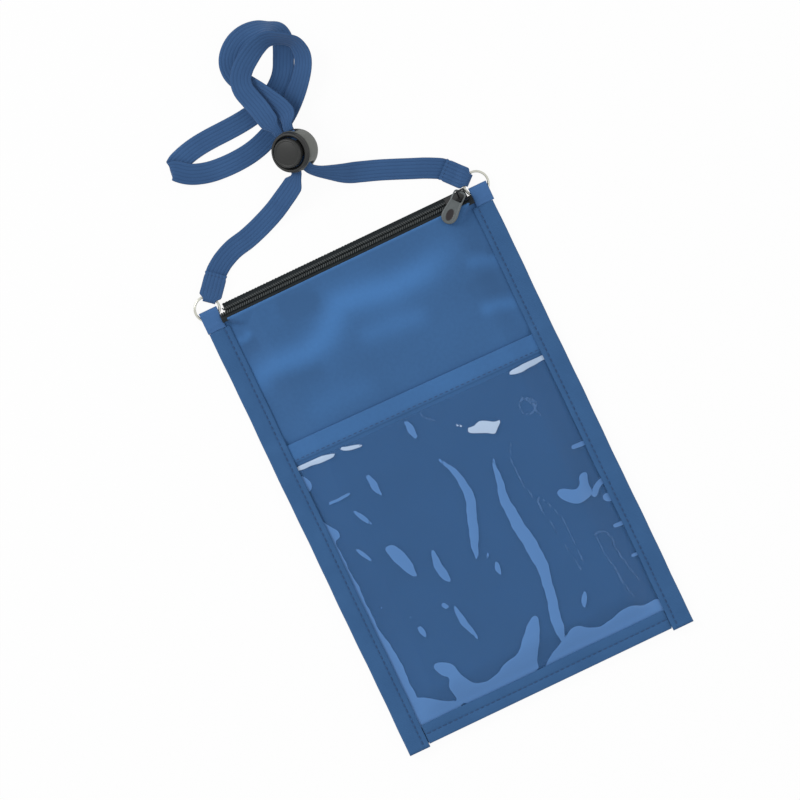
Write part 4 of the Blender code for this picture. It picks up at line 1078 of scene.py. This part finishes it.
# Folds of the cord round the rings: bearing, start from the ring's middle, length, how much
# shorter the lower leg is, width inside the ring and outside, space between the legs where
# closed and the run in which they close, and the thickness drawn with the height of its ribs
FOLD_HEADING = {"left": 50, "right": 131}
FOLD_START = 3.3
FOLD_LENGTH = 13.0
FOLD_SHORTER = 1.6
FOLD_NARROW = 5.6
FOLD_WIDE = 9.9
FOLD_SPACE = 0.12
FOLD_RUN = 3.5
FOLD_THICKNESS = 0.9
FOLD_RIB = 0.1

# Their stitches: from the end of the fold, half the row, height over the upper leg's middle,
# and how much and over what width they draw the cord in
FOLD_STITCH_INSET = 1.4
FOLD_STITCH_HALF = 4.3
FOLD_STITCH_HEIGHT = 0.48
FOLD_DRAWN_IN = 0.5
FOLD_DRAWN_WIDTH = 0.5


def ring(side):
    """Wire ring: a circle of the wire's radius carried round the ring's circle."""
    big, small = np.meshgrid(turns(72), turns(16), indexing="ij")
    x, y = RING_CENTRES[side]
    reach = RING_RADIUS + WIRE_SHOWN * np.cos(small)
    points = joined(x + reach * np.cos(big), y + reach * np.sin(big),
                    RING_Z + WIRE_SHOWN * np.sin(small))
    points = np.concatenate([points, points[:1]])
    piece = welded(surface("ring_" + side, points, NICKEL_FINISH, around=True))
    node = side + "_ring"
    attach(piece, node, "nickel", node)


def ring_loop(side):
    """Tab folded through the ring: back leg, round fold, front leg falling to its foot."""
    xs = np.linspace(LOOP_X[side] - LOOP_HALF, LOOP_X[side] + LOOP_HALF, 13)
    crease = RING_CENTRES[side][1] - WIRE_HALF - CLOTH / 2
    high = RING_Z + WIRE_HALF + GAP + CLOTH / 2
    radius = (high - layer(0)) / 2
    foot = BINDING_TOP_Y + GAP
    turn_y = crease - radius
    front_y = np.linspace(turn_y, foot - LOOP_TUCK, 14)
    drop = smooth((ZIP_FRONT_Y - front_y) / (ZIP_FRONT_Y - foot))
    ys = np.concatenate([np.linspace(foot, turn_y, 6), turn_y + radius * np.sin(HALF_TURN),
                         front_y])
    zs = np.concatenate([np.full(6, layer(0)), layer(0) + radius - radius * np.cos(HALF_TURN),
                         mix(high, layer(3), drop)])
    points = joined(xs, ys[:, None], zs[:, None])
    spread = joined(xs, profile_arc(ys, zs)[:, None])
    piece = surface("ring_tab_" + side, points, TAB_FINISH, cloth=spread)
    thicken(piece, CLOTH)
    attach(piece, "wallet", "binding", side + "_ring_loop")


def cord_end(side):
    """End of the cord folded round the ring: lower leg, round fold, and the upper leg
    falling back on the lower and over the start of the run; narrow inside the ring, drawn
    in a little at its row of stitches, and ribbed on its outer face."""
    heading = math.radians(FOLD_HEADING[side])
    centre = np.array([*RING_CENTRES[side], 0.0])
    along = np.array([math.cos(heading), math.sin(heading), 0])
    across = np.array([-along[1], along[0], 0])
    low = CORD_THICKNESS / 2
    high = RING_Z + WIRE_HALF + GAP + CORD_THICKNESS / 2
    closed = low + CORD_THICKNESS + FOLD_SPACE
    radius = (high - low) / 2
    start = FOLD_START + radius
    end = FOLD_START + FOLD_LENGTH
    wire = RING_RADIUS + WIRE_HALF + GAP
    lower = np.linspace(end - FOLD_SHORTER, start, 12)
    upper = np.linspace(start, end, 28)
    reach = np.concatenate([lower, start - radius * np.sin(HALF_TURN), upper])
    drop = smooth((upper - wire - GAP) / FOLD_RUN)
    z = np.concatenate([np.full(12, low), low + radius - radius * np.cos(HALF_TURN),
                        mix(high, closed, drop)])
    width = mix(FOLD_NARROW, FOLD_WIDE, smooth((reach - start + GAP) / (wire - start)))
    width -= FOLD_DRAWN_IN * bell(reach - end + FOLD_STITCH_INSET, FOLD_DRAWN_WIDTH)
    spots = np.linspace(-0.5, 0.5, 41)
    points = centre + along * reach[:, None, None] + across * (width[:, None] * spots)[:, :, None]
    ribs = FOLD_RIB * abs(np.sin(CORD_WIDTH * spots * math.pi / RIB_PITCH))
    outward = np.concatenate([np.full(12, -1.0), -np.cos(HALF_TURN), np.full(28, 1.0)])
    points[..., 2] = z[:, None] + outward[:, None] * ribs
    spread = joined(CORD_WIDTH * spots, profile_arc(reach, z)[:, None])
    piece = surface("cord_fold_" + side, points, BRAID_FINISH, cloth=spread)
    thicken(piece, FOLD_THICKNESS)
    bevel = piece.modifiers.new("soft_edge", "BEVEL")
    bevel.width = 0.25 * MM
    bevel.segments = 2
    bevel.limit_method = "ANGLE"
    bevel.angle_limit = math.radians(50)
    attach(piece, "wallet", "braid", side + "_cord_end")
    middle = centre + along * (end - FOLD_STITCH_INSET) + UPRIGHT * (closed + FOLD_STITCH_HEIGHT)
    row = [middle - across * FOLD_STITCH_HALF, middle + across * FOLD_STITCH_HALF]
    stitches("cord_stitches_" + side, [row], "braid", length=1.1, space=0.5, radius=0.14)
    return piece


# Neck cord: at each point of a route x, y and z, then the way its width points there, as
# the angle about Z from +X and the angle above level, both in degrees
LEFT_RUN = [
    (-55.97, 120.62, 0.55, -41, 0), (-54.5, 122.3, 0.55, -52, 0), (-49.8, 125.4, 0.55, -63, 0),
    (-43.5, 128, 0.55, -73, 0), (-36.3, 129.5, 0.58, -75, 0), (-28.6, 131.9, 0.95, -70, 1),
    (-20.5, 135.1, 2.3, -66, 4), (-13.9, 138.5, 4.6, -62, 10), (-8.2, 141.7, 7.4, -57, 18),
    (-5, 144.3, 9.1, -43, 24), (-3.75, 146.4, 9.8, -19, 27), (-3.57, 148.5, 9.96, 0, 28),
    (-3.57, 153, 9.96, 0, 28), (-3.57, 163.7, 9.96, 0, 28),
]
RIGHT_RUN = [
    (56.16, 119.25, 0.55, 44, 0), (54.95, 120.5, 0.55, 59, 0), (48.8, 123.7, 0.55, 65, 0),
    (42.3, 126.5, 0.55, 67, 0), (35.8, 129.3, 0.6, 67, 0), (29.2, 132, 1, 69, 1),
    (22.5, 134.4, 2.5, 70, 3), (15.8, 136.8, 5.2, 67, 8), (9.6, 140, 8.3, 61, 14),
    (5.2, 142.6, 10.6, 54, 20), (2.3, 145.3, 12, 34, 26), (1.28, 148.5, 12.54, 0, 28),
    (1.28, 153, 12.54, 0, 28), (1.28, 163.7, 12.54, 0, 28),
]
LOOPS = [
    (1.28, 164, 12.54, 0, 28), (1.3, 165.7, 12.54, -2, 28), (2, 168, 12.5, -12, 27),
    (2.9, 170.2, 12.2, -8, 26), (2.9, 172.6, 11.7, 3, 26), (1.8, 176.2, 10.7, 14, 28),
    (-0.5, 180.6, 9.5, 20, 29), (-3.1, 185.3, 8.1, 25, 27), (-6, 189.7, 6.9, 30, 22),
    (-8.6, 193.6, 5.9, 31, 16), (-10.3, 198, 5, 13, 11), (-10.1, 202.6, 4.4, -10, 9),
    (-7.8, 206.7, 4, -36, 9), (-3.5, 210.2, 4, -57, 14), (1.9, 212, 4.2, -80, 24),
    (7.7, 211.9, 4.6, -100, 38), (12.7, 210.3, 4.9, -125, 56), (16, 207, 3.9, -148, 38),
    (16.2, 203, 2.2, -174, 13), (14.6, 198.7, 1.1, -198, 3), (12.7, 194.7, 0.62, -209, 0),
    (10.6, 190.6, 0.6, -219, 0), (7.8, 187, 0.6, -229, 0), (3.8, 183.7, 0.6, -238, 0),
    (-1.6, 180.9, 0.6, -246, 0), (-7, 179, 0.6, -255, 0), (-12.7, 177.8, 0.6, -263, 0),
    (-18.5, 177.2, 0.6, -267, 0), (-24.6, 176.9, 0.6, -268, 0), (-31, 176.7, 0.6, -266, 0),
    (-37.6, 176.2, 0.6, -263, 0), (-43.3, 175.2, 0.6, -260, 0), (-48.1, 173.8, 0.6, -264, 0),
    (-51.4, 172.5, 0.6, -271, 0), (-53, 171.8, 0.82, -276, 0), (-53.7, 171.4, 1.66, -278, 0),
    (-53, 171, 2.5, -280, 0), (-51.4, 169.7, 2.68, -284, 0), (-48.3, 167.1, 2.6, -292, 0),
    (-44.2, 165, 2, -293, 0), (-38, 163.3, 1.1, -280, 0), (-30.3, 162.6, 0.65, -272, 0),
    (-22.4, 162.8, 0.6, -264, 0), (-15.4, 163.9, 0.6, -255, 0), (-8.6, 166.1, 0.6, -250, 0),
    (-2.4, 168.8, 0.7, -247, -2), (3.4, 172.2, 1.7, -239, -9), (8.9, 176.5, 3.3, -230, -18),
    (14.4, 181.8, 4.4, -224, -27), (18.8, 187.3, 5.3, -211, -33), (20.9, 191.9, 6, -192, -37),
    (21.1, 195.8, 6.8, -168, -45), (20.3, 198.9, 7.6, -143, -55), (17.7, 201.5, 8.3, -130, -60),
    (14, 203.8, 8.8, -118, -55), (9.4, 205.3, 9.2, -98, -42), (4.2, 204.2, 9.7, -70, -28),
    (-1, 201.4, 10.1, -54, -15), (-5.3, 198.2, 10.6, -41, -6), (-8.4, 194.2, 11, -26, -2),
    (-9.3, 189.4, 11.3, -5, 0), (-8.1, 184.2, 11.5, 9, 4), (-6.7, 179.2, 11.4, 13, 10),
    (-5.7, 174.2, 11, 13, 18), (-4.9, 170.4, 10.4, 14, 25), (-3.9, 167.6, 10, 8, 28),
    (-3.58, 165.7, 9.96, 2, 28), (-3.57, 164, 9.96, 0, 28),
]

# Section of the cord, lying free and bunched up in the lock, with the depth of the valleys
# between its ribs as a share of its thickness, and how much narrower it is at a fold
CORD_WIDTH = 9.5
CORD_THICKNESS = 1.0
BUNCHED_WIDTH = 4.9
BUNCHED_THICKNESS = 2.1
VALLEY_DEPTH = 0.22
TIP_SHARE = 0.16
TIP_WIDTH = 2.6

# Steps along the route and round the section, and the least height over the floor
ROUTE_STEP = 0.8
SECTION_POINTS = 60
LEAST_HEIGHT = 0.05


def along_route(route, step):
    """Points on the smooth curve through the route: with a, b, c, d the four points about
    a stretch, (2b + (c-a)s + (2a-5b+4c-d)s^2 + (3b-a-3c+d)s^3) / 2 at share s."""
    route = np.asarray(route, float)
    lengths = np.linalg.norm(np.diff(route[:, :3], axis=0), axis=1)
    counts = np.maximum(1, np.round(lengths / step)).astype(int)
    index = np.repeat(np.arange(len(counts)), counts)
    share = np.concatenate([np.arange(count) / count for count in counts])[:, None]
    last = len(route) - 1
    a = route[np.maximum(index - 1, 0)]
    b = route[index]
    c = route[np.minimum(index + 1, last)]
    d = route[np.minimum(index + 2, last)]
    found = (2 * b + (c - a) * share + (2 * a - 5 * b + 4 * c - d) * share ** 2
             + (3 * b - a - 3 * c + d) * share ** 3) / 2
    return np.concatenate([found, route[-1:]])


def neck_cord(name, route, node, bunch_length, start=None, end=None, tip=None):
    """Flat cord: a rounded section with six ribs on each face, half width times cos^0.6
    and half thickness times sin^0.8, carried along the route. Its width points along the
    turn and the rise of the route, made square to the travel. It is bunched up over the
    lengths start and end at its two ends, opens over the bunch length, and is a little
    narrower where it folds back, at the length tip, as its corners are drawn in."""
    path = along_route(route, ROUTE_STEP)
    centre = path[:, :3]
    turn, rise = np.radians(path[:, 3:].T)
    arcs = lengths_along(centre)
    travel = np.gradient(centre, axis=0)
    travel /= np.linalg.norm(travel, axis=1)[:, None]
    across = joined(np.cos(turn) * np.cos(rise), np.sin(turn) * np.cos(rise), np.sin(rise))
    across -= (across * travel).sum(axis=1)[:, None] * travel
    across /= np.linalg.norm(across, axis=1)[:, None]
    upright = np.cross(travel, across)
    free = np.ones(len(arcs))
    if start is not None:
        free = np.minimum(free, smooth((arcs - start) / bunch_length))
    if end is not None:
        free = np.minimum(free, smooth((arcs[-1] - arcs - end) / bunch_length))
    half = mix(BUNCHED_WIDTH, CORD_WIDTH, free) / 2
    if tip is not None:
        half = half * (1 - TIP_SHARE * bell(arcs - tip, TIP_WIDTH))
    deep = mix(BUNCHED_THICKNESS, CORD_THICKNESS, free) / 2
    around = (np.arange(SECTION_POINTS) + 0.5) * 2 * math.pi / SECTION_POINTS
    wide = np.sign(np.cos(around)) * abs(np.cos(around)) ** 0.6
    thick = np.sign(np.sin(around)) * abs(np.sin(around)) ** 0.8
    valley = 1 - abs(np.sin(CORD_WIDTH / 2 * wide * math.pi / RIB_PITCH))
    thick = thick * (1 - VALLEY_DEPTH * valley)
    points = (centre[:, None] + across[:, None] * (half[:, None] * wide)[..., None]
              + upright[:, None] * (deep[:, None] * thick)[..., None])
    lift = np.maximum(0, LEAST_HEIGHT - points[..., 2].min(axis=1))
    points[..., 2] += lift[:, None]
    centre = centre + lift[:, None] * UPRIGHT
    across_map = CORD_WIDTH / 2 * np.concatenate([wide, wide[:1]])
    piece = surface(name, points, BRAID_FINISH, around=True, capped=True,
                    cloth=joined(across_map, arcs[:, None]))
    attach(piece, "wallet", "braid", node)


# Slider and pull

# The pull's axis and bearing at rest, half its thickness, the height and inset of its side
# rims, and its oval hollow: middle along the pull, half length, half width and depth
PULL_AXIS = (58.2, 107.1609, 7.0)
PULL_BEARING = math.radians(219.5)
PULL_HALF = 0.5
PULL_RIM = 0.16
PULL_RIM_INSET = 0.55
HOLLOW_PLACE = 11.2
HOLLOW_LENGTH = 2.9
HOLLOW_WIDTH = 1.75
HOLLOW_DEPTH = 0.32


def even_loop(half, count):
    """A closed outline from its half on one side, mirrored, with evenly spaced points and
    its corners rounded by taking (before + 2 point + after) / 4 three times."""
    half = np.asarray(half, float)
    line = np.concatenate([half, half[-2:0:-1] * [1, -1], half[:1]])
    arcs = lengths_along(line)
    loop = point_at(line, arcs, np.arange(count) / count * arcs[-1])
    for _ in range(3):
        loop = (np.roll(loop, 1, axis=0) + 2 * loop + np.roll(loop, -1, axis=0)) / 4
    return loop


def pull_piece():
    """Pull tab: one closed band of rows between its outline and the outline of its eye,
    over the top and back underneath, with rounded rims. On top an oval hollow and raised
    rims along both sides; all of it laid along the bearing at the pull's axis."""
    outer = even_loop([(-0.45, 0), (-0.45, -2.0), (0.1, -2.8), (1.2, -2.95), (5.0, -2.9),
                       (8.4, -3.3), (11.2, -3.7), (13.4, -3.3), (14.9, -1.9), (15.35, 0)], 120)
    eye = even_loop([(0.45, 0), (0.45, -1.9), (0.8, -2.25), (2.4, -2.3), (4.0, -2.25),
                     (4.4, -1.9), (4.45, 0)], 120)
    shares = np.concatenate([[0, 0.02], np.linspace(0.05, 0.95, 34), [0.98, 1]])
    rim = np.minimum(shares, 1 - shares)
    rounding = 0.16 * (1 - np.clip(rim / 0.05, 0, 1)) ** 2
    rows = []
    painted_shade_marks = []
    for level, order in ((1, slice(None)), (-1, slice(None, None, -1))):
        flat = mix(outer[None], eye[None], shares[order, None, None])
        x, y = flat[..., 0], flat[..., 1]
        away = np.hypot((x - HOLLOW_PLACE) / HOLLOW_LENGTH, y / HOLLOW_WIDTH)
        dip = HOLLOW_DEPTH * smooth((1.08 - away) / 0.3)
        edge, _ = from_line(x, y, outer, closed=True)
        ridge = PULL_RIM * bell(edge - PULL_RIM_INSET, 0.3)
        height = PULL_HALF - rounding[order][:, None] + (ridge - dip) * (level > 0)
        rows.append(joined(x, y, level * height))
        # where the hollow gets its painted shade
        painted_shade_marks.append(smooth((1.02 - away) / 0.14) * (level > 0))
    local = np.concatenate(rows + [rows[0][:1]])
    painted_shade_marks = np.concatenate(painted_shade_marks + [painted_shade_marks[0][:1]])
    cos, sin = math.cos(PULL_BEARING), math.sin(PULL_BEARING)
    x = PULL_AXIS[0] + cos * local[..., 0] - sin * local[..., 1]
    y = PULL_AXIS[1] + sin * local[..., 0] + cos * local[..., 1]
    points = joined(x, y, PULL_AXIS[2] + local[..., 2])
    piece = surface("pull_tab", points, PULL_FINISH, around=True)
    carry(piece, "hollow", painted_shade_marks)
    attach(welded(piece), "pull", "pull_rubber", "zipper_pull")


# Cord lock

# Foot of the lock's axis and its tilt, the barrel's radius, half the slot's width, and
# from which radius and height the barrel's side counts as its wall, drawn paler as painted light
LOCK_BASE = (3.45, 155.3, 2.8)
LOCK_TILT = math.radians(28)
LOCK_RADIUS = 9.4
SLOT_HALF = 5.6
WALL_RADIUS = 9.15
WALL_FOOT = 3.0


def lock_point(local):
    """Lock's own coordinates, tilted to the left about Y and set on its base."""
    cos, sin = math.cos(LOCK_TILT), math.sin(LOCK_TILT)
    x = LOCK_BASE[0] + local[..., 0] * cos - local[..., 2] * sin
    z = LOCK_BASE[2] + local[..., 0] * sin + local[..., 2] * cos
    return joined(x, LOCK_BASE[1] + local[..., 1], z)


def lock_turned(name, profile):
    """A round piece of the lock: the profile's (radius, height) turned about the tilted
    axis. It starts and ends on the axis, where its points are merged."""
    radius, height = np.asarray(profile, float).T[..., None]
    angles = turns(72)
    local = joined(radius * np.cos(angles), radius * np.sin(angles), height)
    return welded(surface(name, lock_point(local), LOCK_FINISH, around=True))


def slot_cut(piece, low, high):
    """Cut the straight slot for the cord through a piece of the lock, from its low to its
    high level, and mark the edges that stay sharp."""
    corners = np.array([[(x, y, z) for x, y in ((-1, -1), (1, -1), (1, 1), (-1, 1))]
                        for z in (0, 1)], float)
    corners = corners * [SLOT_HALF, LOCK_RADIUS + 2, high - low] + [0, 0, low]
    tool = surface("slot_tool", lock_point(corners), LOCK_FINISH, around=True, capped=True)
    cut = piece.modifiers.new("slot", "BOOLEAN")
    cut.object = tool
    cut.solver = "EXACT"
    ready = piece.evaluated_get(bpy.context.evaluated_depsgraph_get())
    piece.data = bpy.data.meshes.new_from_object(ready)
    piece.modifiers.clear()
    bpy.data.objects.remove(tool)
    piece.data.set_sharp_from_angle(angle=math.radians(38))
    return piece


def painted_light_share(piece):
    """Share of painted light at each point: 1 on the outer wall of the barrel and 0 on its
    rim, foot and bore.
    """
    points = np.zeros(len(piece.data.vertices) * 3)
    piece.data.vertices.foreach_get("co", points)
    x, y, z = (points.reshape(-1, 3) / MM - LOCK_BASE).T
    cos, sin = math.cos(LOCK_TILT), math.sin(LOCK_TILT)
    radius = np.hypot(x * cos + z * sin, y)
    height = z * cos - x * sin
    return smooth((radius - WALL_RADIUS) / 0.15) * smooth((height - WALL_FOOT) / 2.0)


def lock_barrel():
    """Barrel with its rounded foot, wall, ridge, rim and bore, cut for the cord."""
    foot = np.linspace(0, math.pi / 2, 9)
    profile = [(0, 0)] + [(5 + 4.4 * math.sin(a), 5 * (1 - math.cos(a))) for a in foot]
    profile += [(9.4, 6.5), (9.4, 9), (9.4, 11.2), (9.32, 11.6), (9.1, 11.9), (9, 12.2)]
    profile += [(9, 13.1), (8.9, 13.5), (8.6, 13.85), (8.2, 14), (7.8, 13.9), (7.45, 13.4)]
    profile += [(7.3, 12.8), (7, 12.6), (7, 9), (7, 1.4), (0, 1.4)]
    body = slot_cut(lock_turned("lock_barrel", profile), 5.9, 11.3)
    # the outer wall drawn paler: painted light
    carry(body, "wall", painted_light_share(body))
    return attach(body, "wallet", "lock_plastic", "cord_lock_body")


def lock_button():
    """Button standing in the bore, its face a shallow dish inside a raised rim."""
    profile = [(0, 16.05), (5.1, 16.05), (5.35, 15.95), (5.6, 16.05), (5.8, 16.18)]
    profile += [(6.1, 16.15), (6.4, 15.95), (6.6, 15.5), (6.65, 15), (6.65, 11), (6.65, 6.8)]
    profile += [(0, 6.8)]
    button = slot_cut(lock_turned("lock_button", profile), 8.4, 13.8)
    return attach(button, "button", "lock_plastic", "cord_lock_button")


def own_solids():
    """The solids that stay as they are, given their finishes."""
    for node, finish, slot in (("zipper_slider", SLIDER_FINISH, "black_metal"),
                               ("cord_lock_spring", STEEL_FINISH, "spring_steel")):
        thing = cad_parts[node]
        thing.data.materials.clear()
        thing.data.materials.append(finish)


# Light and floor

# Share of plain white in the floor as the camera sees it, the sky's strength as a light,
# and the lamps' names, places, sizes and energies, in metres
WHITE_SHARE = 0.95
SKY_LIGHT = 0.62
LAMPS = (("key_lamp", (-0.9, 1.1, 1.1), 0.7, 11), ("fill_lamp", (1.2, -0.6, 1.3), 1.2, 4))
LAMPS_AIM = (0, 0.03, 0)


def pale_floor():
    """Floor that takes the object's shadow and is close to white for the camera, and in
    what shiny and clear pieces show of it."""
    reach = 3.0
    corners = [(-reach, -reach, 0), (reach, -reach, 0), (reach, reach, 0), (-reach, reach, 0)]
    mesh = bpy.data.meshes.new("floor")
    mesh.from_pydata(corners, [], [(0, 1, 2, 3)])
    floor = bpy.data.objects.new("floor", mesh)
    bpy.context.scene.collection.objects.link(floor)
    floor.location = (0, 0, -0.2 * MM)
    paint = Finish("floor_paint", roughness=0.9)
    paint.set("Base Color", (0.9, 0.9, 0.9, 1))
    rays = paint.tree.nodes.new("ShaderNodeLightPath")
    seen = Wire(paint, rays.outputs["Is Camera Ray"]) + Wire(paint, rays.outputs["Is Glossy Ray"])
    seen = (seen + Wire(paint, rays.outputs["Is Transmission Ray"])).limited() * WHITE_SHARE
    white = paint.tree.nodes.new("ShaderNodeEmission")
    white.inputs["Color"].default_value = (1, 1, 1, 1)
    white.inputs["Strength"].default_value = 1.0
    both = paint.tree.nodes.new("ShaderNodeMixShader")
    paint.feed(both.inputs[0], seen)
    paint.tree.links.new(paint.shader.outputs[0], both.inputs[1])
    paint.tree.links.new(white.outputs[0], both.inputs[2])
    paint.tree.links.new(both.outputs[0], paint.tree.nodes["Material Output"].inputs[0])
    mesh.materials.append(paint.material)


def white_sky():
    """Even sky, white for the camera and in reflections, and dimmer as a light."""
    world = bpy.data.worlds.new("sky")
    bpy.context.scene.world = world
    world.use_nodes = True
    sky = world.node_tree
    light = sky.nodes["Background"]
    rays = sky.nodes.new("ShaderNodeLightPath")
    total = sky.nodes.new("ShaderNodeMath")
    total.operation = "ADD"
    sky.links.new(rays.outputs["Is Camera Ray"], total.inputs[0])
    sky.links.new(rays.outputs["Is Glossy Ray"], total.inputs[1])
    strength = sky.nodes.new("ShaderNodeMapRange")
    sky.links.new(total.outputs[0], strength.inputs["Value"])
    strength.inputs["To Min"].default_value = SKY_LIGHT
    strength.inputs["To Max"].default_value = 1.0
    light.inputs["Color"].default_value = (1, 1, 1, 1)
    sky.links.new(strength.outputs[0], light.inputs["Strength"])


def lamps():
    """A broad lamp up and to the left in the picture, and a weaker one across from it."""
    for name, place, size, energy in LAMPS:
        lamp = bpy.data.lights.new(name, "AREA")
        lamp.size = size
        lamp.energy = energy
        holder = bpy.data.objects.new(name, lamp)
        bpy.context.scene.collection.objects.link(holder)
        holder.location = place
        aim = Vector(LAMPS_AIM) - Vector(place)
        holder.rotation_euler = aim.to_track_quat("-Z", "Y").to_euler()


def seams():
    """Rows of stitches along the side bindings, the bottom binding and the hem."""
    height = CLOTH / 2 - BAR_SUNK
    rows = []
    for side in (-1, 1):
        y = stations(BOTTOM_Y + 0.5, (BINDING_TOP_Y - 0.8, 0.5))
        z = binding_front(side * HALF_WIDTH, y) + height
        rows.append(joined(side * (HALF_WIDTH - STITCH_INSET), y, z))
    x = stations(-INNER_HALF + 0.8, (INNER_HALF - 0.8, 0.5))
    rows.append(joined(x, BOTTOM_Y + BOTTOM_STITCH_INSET, layer(5) + height))
    stitches("binding_stitches", rows, "binding")
    x = stations(-INNER_HALF + 0.4, (INNER_HALF - 0.4, 0.5))
    y = hem_seam_y(x)
    z = layer(3) + pocket_lift(x, y) + PITCH + height
    stitches("hem_stitches", [joined(x, y, z)], "cloth")


def dress():
    """Every piece in the place of its solid."""
    lock = [lock_barrel(), lock_button(), "cord_lock_spring"]
    left_end = cord_end("left")
    right_end = cord_end("right")
    inner = 2 * LOCK_RADIUS
    neck_cord("cord_left", LEFT_RUN, "neck_cord_left_run",
              bunch_length=5, end=inner)
    neck_cord("cord_right", RIGHT_RUN, "neck_cord_right_run",
              bunch_length=22, end=inner)
    neck_cord("cord_loops", LOOPS, "neck_cord_loops",
              bunch_length=5.5, start=3, end=3, tip=162.5)
    back = back_cloth()
    front = front_cloth()
    slip = slip_cloth()
    vinyl = vinyl_sheet()
    side_binding(-1, "binding_left", "left_binding")
    side_binding(1, "binding_right", "right_binding")
    bottom_binding()
    front_tape()
    rear_tape()
    coils()
    for side in ("left", "right"):
        ring(side)
        ring_loop(side)
    pull_piece()
    own_solids()
    seams()


dress()
pale_floor()
white_sky()
lamps()
